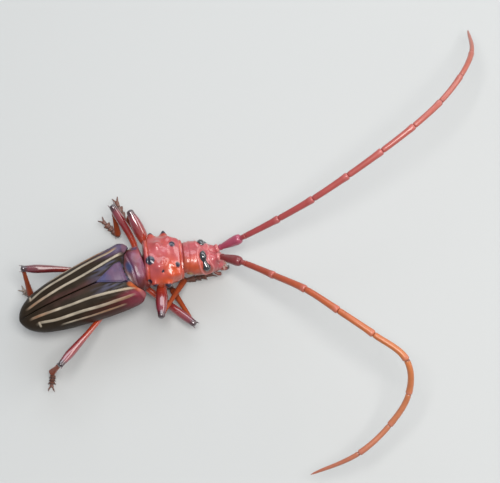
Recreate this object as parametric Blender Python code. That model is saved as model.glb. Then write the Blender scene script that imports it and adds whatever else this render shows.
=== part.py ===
"""Chydarteres striatus, a longhorn beetle, as a life-size still model.

The beetle stands on its six feet on the plane z = 0, with +X forward and +Y to its left.
It is modelled in millimetres round the middle of the scutellum's base, and each finished
node is moved and scaled once, to metres with the origin under the middle of the whole.
"""

import math

import bmesh
import bpy
from mathutils import Matrix, Vector

# Scale and fits
MM = 0.001
GAP = 0.3
SHELL = 0.55
SIDES = 20
SLIVER = 0.01

# Elytra: (x, size) pairs from the tip to the shoulder
ELYTRA_HALF_WIDTH = (
    (-14.4, 0.5), (-14.1, 1.15), (-13.4, 1.8), (-12.2, 2.5), (-9.5, 3.2),
    (-6.8, 3.6), (-3.4, 3.95), (-1.0, 4.1), (0.4, 4.05), (1.6, 3.5),
)
ELYTRA_CREST = (
    (-14.4, 4.9), (-13.5, 5.6), (-11.4, 6.6), (-8.0, 7.35), (-4.0, 7.75), (-1.0, 7.7), (0.8, 7.3), (1.6, 6.8),
)
ELYTRA_EDGE = ((-14.4, 4.3), (-12.0, 4.1), (-7.0, 4.1), (-2.0, 4.3), (0.4, 4.7), (1.6, 5.3))
# How far forward the base reaches, from the seam (0) round to the side edge (1)
ELYTRA_FRONT = ((0.0, 0.35), (0.3, 0.6), (0.55, 1.2), (0.75, 1.55), (0.9, 1.35), (1.0, 0.6))
ELYTRA_STATIONS = 15
SHOULDER_AT = (0.45, 3.2, 6.3)
SHOULDER_SIZE = (1.15, 0.75, 0.8)

# Scutellum: a raised triangle that points back
SCUTELLUM_LENGTH = 3.8
SCUTELLUM_HALF_WIDTH = 1.45
SCUTELLUM_TOP = 8.05
SCUTELLUM_DEPTH = 0.9

# Meso- and metathorax, and abdomen
THORAX_HALF_WIDTH = ((-5.2, 2.6), (-3.0, 2.95), (-0.5, 2.95), (1.0, 2.85), (2.1, 2.75), (2.75, 2.55))
THORAX_TOP = ((-5.2, 6.7), (-2.0, 6.85), (0.6, 6.8), (1.6, 6.9), (2.75, 6.45))
THORAX_BOTTOM = ((-5.2, 2.35), (-2.5, 2.1), (1.0, 2.2), (2.75, 2.9))
THORAX_WIDEST = 4.3
THORAX_BEND = ((-5.2, 0.0), (0.0, 0.0), (2.75, 0.5))
ABDOMEN_HALF_WIDTH = ((-13.3, 0.85), (-12.6, 1.35), (-11.0, 1.9), (-8.0, 2.35), (-5.5, 2.55))
ABDOMEN_TOP = ((-13.3, 4.75), (-11.0, 5.7), (-8.0, 6.45), (-5.5, 6.65))
ABDOMEN_BOTTOM = ((-13.3, 3.7), (-12.0, 3.1), (-9.0, 2.6), (-5.5, 2.35))
ABDOMEN_WIDEST = 4.2
STERNITES = 5
STERNITE_STEP = 0.14

# Prothorax, along its own axis from its base
PROTHORAX_BASE = (2.85, 0.6, 4.9)
PROTHORAX_TURN = (-16.0, 11.0, -6.0)
PROTHORAX_LENGTH = 4.8
PROTHORAX_HALF_WIDTH = ((0.0, 2.75), (0.6, 2.95), (1.6, 3.1), (3.2, 3.0), (4.3, 2.7), (4.8, 2.45))
PROTHORAX_TOP = ((0.0, 2.1), (0.7, 2.3), (2.0, 2.45), (3.4, 2.25), (4.8, 1.75))
PROTHORAX_BOTTOM = ((0.0, -1.9), (1.5, -2.3), (3.4, -2.1), (4.8, -1.6))
PROTHORAX_WIDEST = 0.1
# Tubercles and calluses: where, half sizes; each is repeated on the other side
PROTHORAX_SIDE_KNOBS = (
    ((0.95, 3.05, 0.75), (0.55, 0.85, 0.5)),
    ((2.7, 3.0, 0.55), (0.5, 0.9, 0.45)),
    ((1.9, 1.4, 2.05), (0.95, 0.75, 0.5)),
    ((3.8, 1.25, 1.65), (0.5, 0.5, 0.48)),
    ((3.1, 2.1, 1.35), (0.75, 0.6, 0.55)),
)
PROTHORAX_MIDDLE_KNOBS = (
    ((0.65, 0.0, 2.2), (0.62, 0.62, 0.5)),
    ((2.55, 0.0, 2.3), (1.15, 0.42, 0.4)),
)
FORE_COXA = (1.6, 0.95, -1.95)
FORE_COXA_SIZE = (0.75, 0.7, 0.75)

# Head, along its own axis from its neck
HEAD_BASE = (7.4, -0.65, 4.45)
HEAD_TURN = (-21.0, 18.0, -34.0)
HEAD_HALF_WIDTH = ((0.0, 2.1), (1.0, 2.35), (2.4, 2.3), (3.4, 2.05), (4.4, 1.6), (5.2, 1.25))
HEAD_TOP = ((0.0, 1.65), (1.0, 1.95), (2.4, 1.85), (3.6, 1.35), (4.5, 0.75), (5.2, 0.45))
HEAD_BOTTOM = ((0.0, -1.35), (1.5, -1.6), (3.5, -1.5), (5.2, -1.25))
HEAD_LENGTH = 5.2
SOCKET_AT = (4.05, 0.8, 1.1)
SOCKET_SIZE = 0.7
SCAPE_START = (4.75, 0.8, 1.25)
EYE_LOBES = (
    ((2.3, 0.95, 1.6), (0.42, 0.5, 0.4)),
    ((2.45, 1.6, 1.1), (0.42, 0.45, 0.5)),
    ((2.85, 1.98, 0.4), (0.6, 0.4, 0.55)),
)
MANDIBLE = ((4.8, 0.75, -0.5), (5.6, 0.8, -0.65), (6.2, 0.3, -0.8))
MANDIBLE_RADII = (0.55, 0.42, 0.13)
PALP = ((4.3, 1.0, -1.2), (5.0, 1.15, -1.55), (5.5, 1.0, -1.8))
PALP_RADII = (0.27, 0.27, 0.2)

# Antennae: the lengths and thicknesses of the eleven joints, and each antenna's pose
ANTENNA_LENGTHS = (3.6, 0.75, 5.0, 5.15, 5.3, 5.2, 4.95, 4.55, 4.75, 5.05, 7.0)
ANTENNA_BASE_RADII = (0.4, 0.28, 0.33, 0.36, 0.36, 0.36, 0.35, 0.34, 0.33, 0.32, 0.3)
ANTENNA_END_RADII = (0.65, 0.36, 0.46, 0.46, 0.45, 0.44, 0.42, 0.4, 0.38, 0.36, 0.1)
ANTENNA_HEADINGS = {
    "left": (-8, -5, -1, 2, 7, 10, 14, 21, 33, 47, 71),
    "right": (-46, -46, -52, -52, -59, -58, -61, -110, -147, -162, 178),
}
ANTENNA_CLIMBS = {
    "left": (32, 29, 21, 20, 16, 13, 6, -4, -19, -34, -47),
    "right": (34, 12, 31, 26, 18, 2, -7, -36, -26, -13, -22),
}
ANTENNA_NODES = (
    ("scape", 0, 2), ("flagellum_base", 2, 5), ("flagellum_middle", 5, 8), ("flagellum_tip", 8, 11),
)

# Legs: joints from the coxa to the claws, as (x, y, z)
LEGS = {
    "right_fore": dict(
        femur=((4.3, -1.0, 2.9), (3.5, -3.2, 3.7), (2.3, -6.7, 5.3)),
        tibia_end=(6.6, -2.5, 1.0), toe=(10.1, -3.1), kind="fore"),
    "right_middle": dict(
        femur=((1.4, -1.3, 2.3), (2.6, -3.4, 2.15), (5.6, -8.6, 2.5)),
        tibia_end=(4.6, -3.0, 0.95), toe=(3.0, 0.4), kind="middle"),
    "right_hind": dict(
        femur=((-3.9, -1.9, 2.5), (-5.1, -3.3, 3.0), (-11.5, -7.8, 7.1)),
        tibia_end=(-13.6, -6.9, 0.95), toe=(-14.4, -8.5), kind="hind"),
    "left_fore": dict(
        femur=((4.1, 1.5, 2.9), (3.8, 4.0, 3.9), (3.6, 7.3, 5.5)),
        tibia_end=(2.3, 6.9, 0.95), toe=(2.2, 10.9), kind="fore"),
    "left_middle": dict(
        femur=((1.8, 1.4, 2.3), (2.4, 4.2, 3.0), (1.8, 8.8, 5.6)),
        tibia_end=(0.8, 6.4, 0.95), toe=(-0.4, 9.1), kind="middle"),
    "left_hind": dict(
        femur=((-3.8, 1.6, 2.5), (-6.0, 3.75, 3.15), (-11.5, 5.5, 7.1)),
        tibia_end=(-12.5, 3.6, 0.95), toe=(-13.3, 4.8), kind="hind"),
}
FEMUR_RADII = {
    "fore": (0.45, 0.5, 0.68, 0.78, 0.7, 0.48),
    "middle": (0.42, 0.42, 0.46, 0.52, 0.55, 0.45),
    "hind": (0.42, 0.38, 0.38, 0.48, 0.55, 0.38),
}
TIBIA_RADII = {"fore": (0.3, 0.32, 0.42), "middle": (0.29, 0.31, 0.4), "hind": (0.29, 0.31, 0.4)}
TARSUS_RADII = (0.3, 0.4, 0.29, 0.42, 0.29, 0.44, 0.26, 0.27)
TARSUS_HEIGHT = 0.3
CLAW_LENGTH = 0.6
# A block under the floor that cuts each foot flat
FLOOR_BLOCK = (30.0, 30.0, 4.0)
MIDDLE_COXA = (1.5, 1.15, 2.55)
HIND_COXA = (-3.6, 1.35, 2.5)
COXA_SIZE = (0.85, 0.85, 0.7)

# Colours: base colour, roughness
FINISHES = {
    "elytron": ((0.035, 0.012, 0.012), 0.25),
    "red_shell": ((0.36, 0.035, 0.018), 0.2),
    "dark_shell": ((0.16, 0.02, 0.025), 0.3),
    "leg": ((0.33, 0.045, 0.02), 0.28),
    "tarsus": ((0.3, 0.09, 0.04), 0.5),
    "antenna": ((0.45, 0.07, 0.035), 0.4),
    "eye": ((0.008, 0.008, 0.01), 0.12),
}


def cosine(degrees):
    return math.cos(math.radians(degrees))


def sine(degrees):
    return math.sin(math.radians(degrees))


def on_curve(table, x):
    """The value at x on a smooth curve through (x, value) pairs."""
    last = len(table) - 1
    i = min(last - 1, max(0, sum(1 for a, _ in table if a <= x) - 1))
    (x0, y0), (x1, y1) = table[i], table[i + 1]
    before = table[max(i - 1, 0)]
    after = table[min(i + 2, last)]
    slope0 = (y1 - before[1]) / (x1 - before[0])
    slope1 = (after[1] - y0) / (after[0] - x0)
    t = min(1.0, max(0.0, (x - x0) / (x1 - x0)))
    h = x1 - x0
    return (
        y0 * (1 + 2 * t) * (1 - t) ** 2 + slope0 * h * t * (1 - t) ** 2
        + y1 * t * t * (3 - 2 * t) + slope1 * h * t * t * (t - 1)
    )


def clear_scene():
    for old in list(bpy.data.objects):
        bpy.data.objects.remove(old)


def material_for(finish):
    name = finish + "_finish"
    if name in bpy.data.materials:
        return bpy.data.materials[name]
    color, roughness = FINISHES[finish]
    made = bpy.data.materials.new(name)
    made.use_nodes = True
    shader = made.node_tree.nodes["Principled BSDF"]
    shader.inputs["Base Color"].default_value = (*color, 1.0)
    shader.inputs["Roughness"].default_value = roughness
    shader.inputs["Metallic"].default_value = 0.0
    return made


def object_of(bm, name, collection):
    bmesh.ops.recalc_face_normals(bm, faces=bm.faces)
    if bm.calc_volume(signed=True) < 0:
        bmesh.ops.reverse_faces(bm, faces=bm.faces)
    mesh = bpy.data.meshes.new(name)
    bm.to_mesh(mesh)
    bm.free()
    made = bpy.data.objects.new(name, mesh)
    collection.objects.link(made)
    return made


def lofted(name, rings):
    """A closed body through rings that have the same number of points, with flat ends."""
    bm = bmesh.new()
    loops = [[bm.verts.new(point) for point in ring] for ring in rings]
    for near, far in zip(loops, loops[1:]):
        for k in range(len(near)):
            bm.faces.new((near[k - 1], near[k], far[k], far[k - 1]))
    bm.faces.new(loops[0])
    bm.faces.new(reversed(loops[-1]))
    return object_of(bm, name, WORK)


def oval_ring(x, half_width, top, bottom, widest, roundness=2.3):
    """A section across the body: its widest level parts an upper and a lower half oval."""
    ring = []
    for k in range(SIDES):
        across, up = cosine(360 * k / SIDES), sine(360 * k / SIDES)
        y = half_width * math.copysign(abs(across) ** (2 / roundness), across)
        height = (top - widest) if up > 0 else (widest - bottom)
        ring.append((x, y, widest + math.copysign(height * abs(up) ** (2 / roundness), up)))
    return ring


def bulb(name, at, half_sizes, place=None, segments=10, rings=6):
    """An ellipsoid, as a tubercle, a lobe or a joint's bulb."""
    bm = bmesh.new()
    shape = Matrix.Translation(at) @ Matrix.Diagonal((*half_sizes, 1.0))
    bmesh.ops.create_uvsphere(bm, u_segments=segments, v_segments=rings, radius=1.0, matrix=shape)
    if place is not None:
        bmesh.ops.transform(bm, matrix=place, verts=bm.verts)
    return object_of(bm, name, WORK)


def limb(name, points, radii, roundness=2):
    """A tapered tube along points, as a closed mesh with welded caps."""
    curve = bpy.data.curves.new(name, "CURVE")
    curve.dimensions = "3D"
    curve.bevel_depth = 1.0
    curve.bevel_resolution = roundness
    curve.use_fill_caps = True
    spline = curve.splines.new("POLY")
    spline.points.add(len(points) - 1)
    for control, point, radius in zip(spline.points, points, radii):
        control.co = (*point, 1.0)
        control.radius = radius
    drawn = bpy.data.objects.new(name, curve)
    WORK.objects.link(drawn)
    bpy.context.view_layer.update()
    mesh = bpy.data.meshes.new_from_object(drawn.evaluated_get(bpy.context.evaluated_depsgraph_get()))
    bm = bmesh.new()
    bm.from_mesh(mesh)
    bmesh.ops.transform(bm, matrix=drawn.matrix_world, verts=bm.verts)
    bmesh.ops.remove_doubles(bm, verts=bm.verts, dist=0.0005)
    bpy.data.objects.remove(drawn)
    return object_of(bm, name, WORK)


def bent(points, steps):
    """Points along one smooth curve through a few given ones."""
    route = [Vector(p) for p in points]
    runs = [0.0]
    for near, far in zip(route, route[1:]):
        runs.append(runs[-1] + (far - near).length)
    tables = [[(run, p[axis]) for run, p in zip(runs, route)] for axis in range(3)]
    return [Vector(on_curve(table, runs[-1] * s / steps) for table in tables) for s in range(steps + 1)]


def keep_largest(thing):
    """Drops the slivers that a Boolean leaves, and all but the largest closed surface."""
    bm = bmesh.new()
    bm.from_mesh(thing.data)
    bmesh.ops.remove_doubles(bm, verts=bm.verts, dist=SLIVER)
    bmesh.ops.dissolve_degenerate(bm, edges=bm.edges, dist=SLIVER)
    left = set(bm.faces)
    surfaces = []
    while left:
        waiting = [left.pop()]
        surface = list(waiting)
        while waiting:
            for edge in waiting.pop().edges:
                beside = edge.link_faces if len(edge.link_faces) == 2 else ()
                for face in beside:
                    if face in left:
                        left.discard(face)
                        waiting.append(face)
                        surface.append(face)
        surfaces.append(surface)
    surfaces.sort(key=lambda surface: sum(face.calc_area() for face in surface))
    scraps = [face for surface in surfaces[:-1] for face in surface]
    bmesh.ops.delete(bm, geom=scraps, context="FACES")
    bm.to_mesh(thing.data)
    bm.free()


def combined(thing, others, operation):
    """Applies one Boolean between thing and a collection of the others, and removes them."""
    group = bpy.data.collections.new("operands")
    bpy.context.scene.collection.children.link(group)
    for other in others:
        WORK.objects.unlink(other)
        group.objects.link(other)
    step = thing.modifiers.new(operation, "BOOLEAN")
    step.operation = operation
    step.operand_type = "COLLECTION"
    step.collection = group
    step.solver = "MANIFOLD"
    bpy.context.view_layer.update()
    graph = bpy.context.evaluated_depsgraph_get()
    mesh = bpy.data.meshes.new_from_object(thing.evaluated_get(graph))
    thing.modifiers.clear()
    thing.data = mesh
    for other in list(group.objects):
        bpy.data.objects.remove(other)
    bpy.data.collections.remove(group)
    keep_largest(thing)
    return thing


def grown(thing, distance):
    """A copy of a node that is larger by distance all round, to part its neighbour from it."""
    bm = bmesh.new()
    bm.from_mesh(thing.data)
    bm.normal_update()
    moves = [(vert, vert.normal * distance) for vert in bm.verts]
    for vert, move in moves:
        vert.co += move
    return object_of(bm, thing.name + "_room", WORK)


def parted(thing, *neighbours):
    """Cuts thing back so that it meets each neighbour face to face, a gap apart."""
    for other in neighbours:
        combined(thing, [grown(other, GAP)], "DIFFERENCE")
    return thing


def mirrored(point, side):
    return (point[0], side * point[1], point[2])


def elytron(side):
    rings = []
    first = ELYTRA_CREST[0][0]
    quarter = SIDES // 2
    for k in range(ELYTRA_STATIONS + 1):
        share = (k / ELYTRA_STATIONS) ** 1.25
        outer, inner = [], []
        for j in range(quarter + 1):
            x = first + (on_curve(ELYTRA_FRONT, j / quarter) - first) * share
            wide = on_curve(ELYTRA_HALF_WIDTH, x)
            crest = on_curve(ELYTRA_CREST, x)
            edge = on_curve(ELYTRA_EDGE, x)
            wall = min(SHELL, 0.45 * (crest - edge), 0.45 * wide)
            a = 90 * j / quarter
            across, up = sine(a) ** 0.85, cosine(a) ** 0.8
            outer.append((x, side * max(GAP / 2, wide * across), edge + (crest - edge) * up))
            low = edge + (crest - wall - edge) * up
            inner.append((x, side * max(GAP / 2, (wide - wall) * across), low))
        rings.append(outer + inner[::-1])
    made = lofted("elytron", rings)
    knob = bulb("shoulder", mirrored(SHOULDER_AT, side), SHOULDER_SIZE)
    return combined(made, [knob], "UNION")


def scutellum():
    bm = bmesh.new()
    low = SCUTELLUM_TOP - SCUTELLUM_DEPTH
    outline = (
        (0.15, -SCUTELLUM_HALF_WIDTH, low - 0.25), (0.15, SCUTELLUM_HALF_WIDTH, low - 0.25),
        (-0.7, SCUTELLUM_HALF_WIDTH * 0.97, low), (-SCUTELLUM_LENGTH, 0.0, low),
        (-0.7, -SCUTELLUM_HALF_WIDTH * 0.97, low),
    )
    base = bm.faces.new([bm.verts.new(point) for point in outline])
    top = bmesh.ops.extrude_face_region(bm, geom=[base])["geom"]
    raised = [v for v in top if isinstance(v, bmesh.types.BMVert)]
    bmesh.ops.translate(bm, verts=raised, vec=(0, 0, SCUTELLUM_DEPTH))
    bmesh.ops.recalc_face_normals(bm, faces=bm.faces)
    rim = [e for e in bm.edges if all(v in raised for v in e.verts)]
    bmesh.ops.bevel(bm, geom=rim, offset=0.3, segments=3, profile=0.5, affect="EDGES", material=-1)
    return object_of(bm, "scutellum", WORK)


def thorax():
    rings = []
    first, last = THORAX_HALF_WIDTH[0][0], THORAX_HALF_WIDTH[-1][0]
    stations = 9
    for k in range(stations + 1):
        x = first + (last - first) * k / stations
        ring = oval_ring(
            x, on_curve(THORAX_HALF_WIDTH, x), on_curve(THORAX_TOP, x),
            on_curve(THORAX_BOTTOM, x), THORAX_WIDEST)
        bend = on_curve(THORAX_BEND, x)
        rings.append([(px, py + bend, pz) for px, py, pz in ring])
    made = lofted("thorax", rings)
    coxae = [
        bulb("coxa", mirrored(at, side), COXA_SIZE)
        for at in (MIDDLE_COXA, HIND_COXA) for side in (-1, 1)
    ]
    return combined(made, coxae, "UNION")


def abdomen():
    """The abdomen, with the overlapping steps of its five sternites."""
    rings = []
    first, last = ABDOMEN_HALF_WIDTH[0][0], ABDOMEN_HALF_WIDTH[-1][0]
    for k in range(STERNITES):
        for share, step in ((0.02, 0.0), (0.98, STERNITE_STEP)):
            x = first + (last - first) * (k + share) / STERNITES
            rings.append(oval_ring(
                x, on_curve(ABDOMEN_HALF_WIDTH, x) + step, on_curve(ABDOMEN_TOP, x),
                on_curve(ABDOMEN_BOTTOM, x) - step, ABDOMEN_WIDEST))
    return lofted("abdomen", rings)


def axis_frame(base, turn):
    """The place of a body part whose own +X points forward, from its yaw, nod and roll in degrees."""
    yaw, nod, roll = (math.radians(angle) for angle in turn)
    return (
        Matrix.Translation(base) @ Matrix.Rotation(yaw, 4, "Z")
        @ Matrix.Rotation(nod, 4, "Y") @ Matrix.Rotation(roll, 4, "X")
    )


def prothorax():
    place = axis_frame(PROTHORAX_BASE, PROTHORAX_TURN)
    rings = []
    stations = 8
    for k in range(stations + 1):
        x = PROTHORAX_LENGTH * k / stations
        ring = oval_ring(
            x, on_curve(PROTHORAX_HALF_WIDTH, x), on_curve(PROTHORAX_TOP, x),
            on_curve(PROTHORAX_BOTTOM, x), PROTHORAX_WIDEST)
        rings.append([place @ Vector(point) for point in ring])
    made = lofted("pronotum", rings)
    knobs = [bulb("knob", at, size, place) for at, size in PROTHORAX_MIDDLE_KNOBS]
    for side in (-1, 1):
        for at, size in PROTHORAX_SIDE_KNOBS:
            knobs.append(bulb("knob", mirrored(at, side), size, place))
        knobs.append(bulb("coxa", mirrored(FORE_COXA, side), FORE_COXA_SIZE, place))
    return combined(made, knobs, "UNION")


def head():
    place = axis_frame(HEAD_BASE, HEAD_TURN)
    rings = []
    stations = 8
    for k in range(stations + 1):
        x = HEAD_LENGTH * k / stations
        ring = oval_ring(
            x, on_curve(HEAD_HALF_WIDTH, x), on_curve(HEAD_TOP, x), on_curve(HEAD_BOTTOM, x), 0.0)
        rings.append([place @ Vector(point) for point in ring])
    made = lofted("head", rings)
    sockets = [
        bulb("socket", mirrored(SOCKET_AT, side), (SOCKET_SIZE,) * 3, place) for side in (-1, 1)
    ]
    return combined(made, sockets, "UNION")


def eye(side, room=0.0):
    """The eye's kidney of three lobes, or with some room all round, the hollow that it sits in."""
    place = axis_frame(HEAD_BASE, HEAD_TURN)
    lobes = []
    for at, size in EYE_LOBES:
        lobes.append(bulb("lobe", mirrored(at, side), [half + room for half in size], place))
    return combined(lobes[0], lobes[1:], "UNION")


def mouth_piece(name, points, radii, side):
    place = axis_frame(HEAD_BASE, HEAD_TURN)
    route = bent([place @ Vector(mirrored(point, side)) for point in points], 4)
    sizes = [on_curve(tuple(enumerate(radii)), 2 * k / 4) for k in range(5)]
    return limb(name, route, sizes)


def antenna_joints(side_name):
    """Where each of the eleven joints of one antenna starts, and where the last one ends."""
    place = axis_frame(HEAD_BASE, HEAD_TURN)
    side = 1 if side_name == "left" else -1
    joints = [place @ Vector(mirrored(SCAPE_START, side))]
    for length, heading, climb in zip(
        ANTENNA_LENGTHS, ANTENNA_HEADINGS[side_name], ANTENNA_CLIMBS[side_name]
    ):
        run = length * cosine(climb)
        step = Vector((run * cosine(heading), run * sine(heading), length * sine(climb)))
        joints.append(joints[-1] + step)
    return joints


def antenna_length(name, joints, first, last):
    """Joints first to last of an antenna as one tube, each swollen towards its far end."""
    points, radii = [], []
    for k in range(first, last):
        near, far = joints[k], joints[k + 1]
        along = (far - near).normalized()
        near = near + along * (GAP / 2 if k == first else 0.08)
        far = far - along * (GAP / 2 if k == last - 1 else 0.08)
        thin, thick = ANTENNA_BASE_RADII[k], ANTENNA_END_RADII[k]
        for share, radius in ((0, thin * 0.85), (0.1, thin), (0.78, max(thick * 0.9, 0.5 * (thin + thick))
                              if thick > thin else 0.6 * thin), (0.93, thick), (1.0, thick * 0.75)):
            points.append(near.lerp(far, share))
            radii.append(radius)
    return limb(name, points, radii)


def femur(leg):
    route = bent(leg["femur"], 8)
    table = tuple(enumerate(FEMUR_RADII[leg["kind"]]))
    radii = [on_curve(table, k * 5 / 8) for k in range(9)]
    knee = Vector(leg["femur"][-1])
    forward = (knee - route[-2]).normalized()
    return limb("femur", route + [knee + forward * 0.28], radii + [radii[-1] * 0.5])


def tibia(leg):
    """From inside the knee to the ankle; the femur's room is cut from it afterwards."""
    knee, ankle = Vector(leg["femur"][-1]), Vector(leg["tibia_end"])
    down = (ankle - knee).normalized()
    start = knee + down * 0.15
    thin, middle, wide = TIBIA_RADII[leg["kind"]]
    shares = ((0, thin), (0.15, thin), (0.55, middle), (0.92, wide), (1.0, wide * 0.8))
    return limb("tibia", [start.lerp(ankle, s) for s, _ in shares], [r for _, r in shares])


def tarsus(leg):
    """Lobed foot joints on the floor with two claws, flat below."""
    ankle, toe = Vector(leg["tibia_end"]), Vector((*leg["toe"], TARSUS_HEIGHT))
    heel = Vector((ankle[0], ankle[1], TARSUS_HEIGHT)).lerp(toe, 0.04)
    steps = len(TARSUS_RADII) - 1
    foot = limb("tarsus", [heel.lerp(toe, k / steps) for k in range(steps + 1)], TARSUS_RADII)
    along = (toe - heel).normalized()
    across = Vector((-along[1], along[0], 0))
    pieces = [limb("ankle", [heel + along * 0.3, ankle - along * 0.1], (0.28, 0.26))]
    for side in (-1, 1):
        root = toe - along * 0.2 + across * side * 0.05
        bend = toe + along * CLAW_LENGTH * 0.5 + across * side * 0.32
        tip = toe + along * CLAW_LENGTH + across * side * 0.42 - Vector((0, 0, 0.12))
        pieces.append(limb("claw", [root, bend, tip], (0.17, 0.16, 0.07)))
    combined(foot, pieces, "UNION")
    bm = bmesh.new()
    under = Matrix.Translation((toe[0], toe[1], -FLOOR_BLOCK[2] / 2))
    bmesh.ops.create_cube(bm, size=1.0, matrix=under @ Matrix.Diagonal((*FLOOR_BLOCK, 1.0)))
    return combined(foot, [object_of(bm, "floor", WORK)], "DIFFERENCE")


def finished(name, thing, finish):
    thing.name = name
    thing.data.name = name
    thing.data.materials.clear()
    thing.data.materials.append(material_for(finish))
    NODES.append(thing)
    return thing


def build():
    body = finished("thorax", thorax(), "dark_shell")
    shield = finished("scutellum", scutellum(), "dark_shell")
    belly = finished("abdomen", parted(abdomen(), body), "dark_shell")
    neck = finished("pronotum", parted(prothorax(), body), "red_shell")
    parted(body, shield)
    for side, name in ((1, "left"), (-1, "right")):
        finished("elytron_" + name, parted(elytron(side), body, belly, shield), "elytron")
    skull = finished("head", parted(head(), neck), "red_shell")
    for side, name in ((1, "left"), (-1, "right")):
        finished("eye_" + name, eye(side), "eye")
        combined(skull, [eye(side, GAP)], "DIFFERENCE")
        for piece, points, radii in (("mandible", MANDIBLE, MANDIBLE_RADII), ("palp", PALP, PALP_RADII)):
            made = parted(mouth_piece(piece, points, radii, side), skull)
            finished(piece + "_" + name, made, "dark_shell")
        joints = antenna_joints(name)
        for length_name, first, last in ANTENNA_NODES:
            made = antenna_length(length_name, joints, first, last)
            if first == 0:
                parted(made, skull)
            finished("antenna_" + name + "_" + length_name, made, "antenna")
    for leg_name, leg in LEGS.items():
        root = neck if leg["kind"] == "fore" else body
        thigh = finished("leg_" + leg_name + "_femur", parted(femur(leg), root), "leg")
        shin = finished("leg_" + leg_name + "_tibia", parted(tibia(leg), thigh), "leg")
        finished("leg_" + leg_name + "_tarsus", parted(tarsus(leg), shin), "tarsus")


def stand_in_metres():
    """Puts the origin on the floor under the middle of the whole, and turns millimetres to metres."""
    corners = [Vector(vert.co) for node in NODES for vert in node.data.vertices]
    low = Vector(min(c[i] for c in corners) for i in range(3))
    high = Vector(max(c[i] for c in corners) for i in range(3))
    middle = (low + high) / 2
    place = Matrix.Diagonal((MM, MM, MM, 1)) @ Matrix.Translation((-middle[0], -middle[1], -low[2]))
    for node in NODES:
        node.data.transform(place)
        node.data.shade_smooth()
        node.data.set_sharp_from_angle(angle=math.radians(40))
    print("origin in the beetle's own millimetres:", tuple(round(v, 3) for v in (middle[0], middle[1], low[2])))


clear_scene()
WORK = bpy.data.collections.new("chydarteres_striatus")
bpy.context.scene.collection.children.link(WORK)
NODES = []
build()
stand_in_metres()
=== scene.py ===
# %% [markdown]
# # A longhorn beetle, life size
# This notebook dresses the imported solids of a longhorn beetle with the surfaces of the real
# insect: glossy red and dark shell, pale raised stripes, faceted eyes and long jointed feelers.
# Each chapter makes one group of pieces, and says what they are on the animal and why they are
# made that way. Lengths are in the beetle's own millimetres, with x towards the head, y to its
# left and z up. Left and right are the beetle's own.

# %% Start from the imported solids
import math
import random

import bmesh
import bpy
from mathutils import Matrix, Vector, noise


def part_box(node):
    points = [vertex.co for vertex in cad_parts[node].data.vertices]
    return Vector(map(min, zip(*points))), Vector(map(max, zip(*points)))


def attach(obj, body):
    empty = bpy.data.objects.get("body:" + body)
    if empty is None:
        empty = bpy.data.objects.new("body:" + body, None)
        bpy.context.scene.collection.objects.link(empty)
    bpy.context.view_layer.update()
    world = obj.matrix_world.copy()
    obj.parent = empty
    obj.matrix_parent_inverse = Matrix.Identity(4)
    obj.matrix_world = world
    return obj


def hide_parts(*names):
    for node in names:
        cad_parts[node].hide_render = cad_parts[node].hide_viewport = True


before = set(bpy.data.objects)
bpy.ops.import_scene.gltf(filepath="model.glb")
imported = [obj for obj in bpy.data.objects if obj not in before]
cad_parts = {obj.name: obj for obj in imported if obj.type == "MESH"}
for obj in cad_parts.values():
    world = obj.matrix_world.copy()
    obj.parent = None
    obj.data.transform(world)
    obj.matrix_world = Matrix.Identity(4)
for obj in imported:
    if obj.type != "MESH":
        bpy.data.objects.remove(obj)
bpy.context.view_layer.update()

# %% [markdown]
# ## The beetle's own measure
# A beetle is easier to model in millimetres, round a fixed point on its own body, than in metres
# round the middle of its long feelers. The scutellum, the triangle between the wing cases, gives
# that point: its front edge lies 0.15 mm ahead of it, and its top 8.05 mm above it, which puts the
# point on the floor. Finished meshes are then moved to metres once.

# %% From the beetle's millimetres to the scene's metres
MM = 0.001
SHIELD_FRONT, SHIELD_TOP = 0.15, 8.05
shield_low, shield_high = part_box("scutellum")
origin_x = shield_high.x / MM - SHIELD_FRONT
origin_y = (shield_high.y + shield_low.y) / 2 / MM
origin_z = shield_high.z / MM - SHIELD_TOP
TO_SCENE = Matrix.Diagonal((MM, MM, MM, 1)) @ Matrix.Translation((origin_x, origin_y, origin_z))
print("the beetle's point:", [round(v, 3) for v in (origin_x, origin_y, origin_z)], "mm")

# %% [markdown]
# ## Camera
# The picture is taken from steeply above the beetle's right side, with the camera rolled so that
# the body climbs from lower left to upper right. A long lens a quarter of a metre away keeps the
# near and the far side nearly the same size, as a close-up lens does. The camera looks past the
# body's middle, because the feelers need the room on the right.

# %% Place the camera
ELEVATION, ROLL = math.radians(76), math.radians(-23)
DISTANCE, LENS, SENSOR = 250.0, 144.0, 36.0
BODY_MIDDLE = Vector((0, 0, 7.8))
SHIFT_RIGHT, SHIFT_UP = 16.0, 3.6875
back = Vector((0, -math.cos(ELEVATION), math.sin(ELEVATION)))
level = Vector((1, 0, 0))
upward = back.cross(level)
right = level * math.cos(ROLL) + upward * math.sin(ROLL)
up = upward * math.cos(ROLL) - level * math.sin(ROLL)
eye_point = BODY_MIDDLE + back * DISTANCE + right * SHIFT_RIGHT + up * SHIFT_UP
camera_data = bpy.data.cameras.new("camera")
camera_data.lens = LENS
camera_data.sensor_width = SENSOR
camera_data.clip_start, camera_data.clip_end = 0.01, 5
camera = bpy.data.objects.new("camera", camera_data)
turn = Matrix((right, up, back)).transposed().to_4x4()
turn.translation = TO_SCENE @ eye_point
camera.matrix_world = turn
bpy.context.scene.collection.objects.link(camera)
bpy.context.scene.camera = camera
print("camera at", [round(v, 4) for v in camera.location])

# %% [markdown]
# ## Tools for organic forms
# An insect has no flat faces, so its contours are curves. `size_at` reads a smooth curve through a
# few named sizes: a contour is then a handful of pairs, where along the body and how large.
# `straight_at` does the same with straight lines, for forms with creases.

# %% Sizes from a few named pairs
def share_of(value):
    return min(1.0, max(0.0, value))


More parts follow.
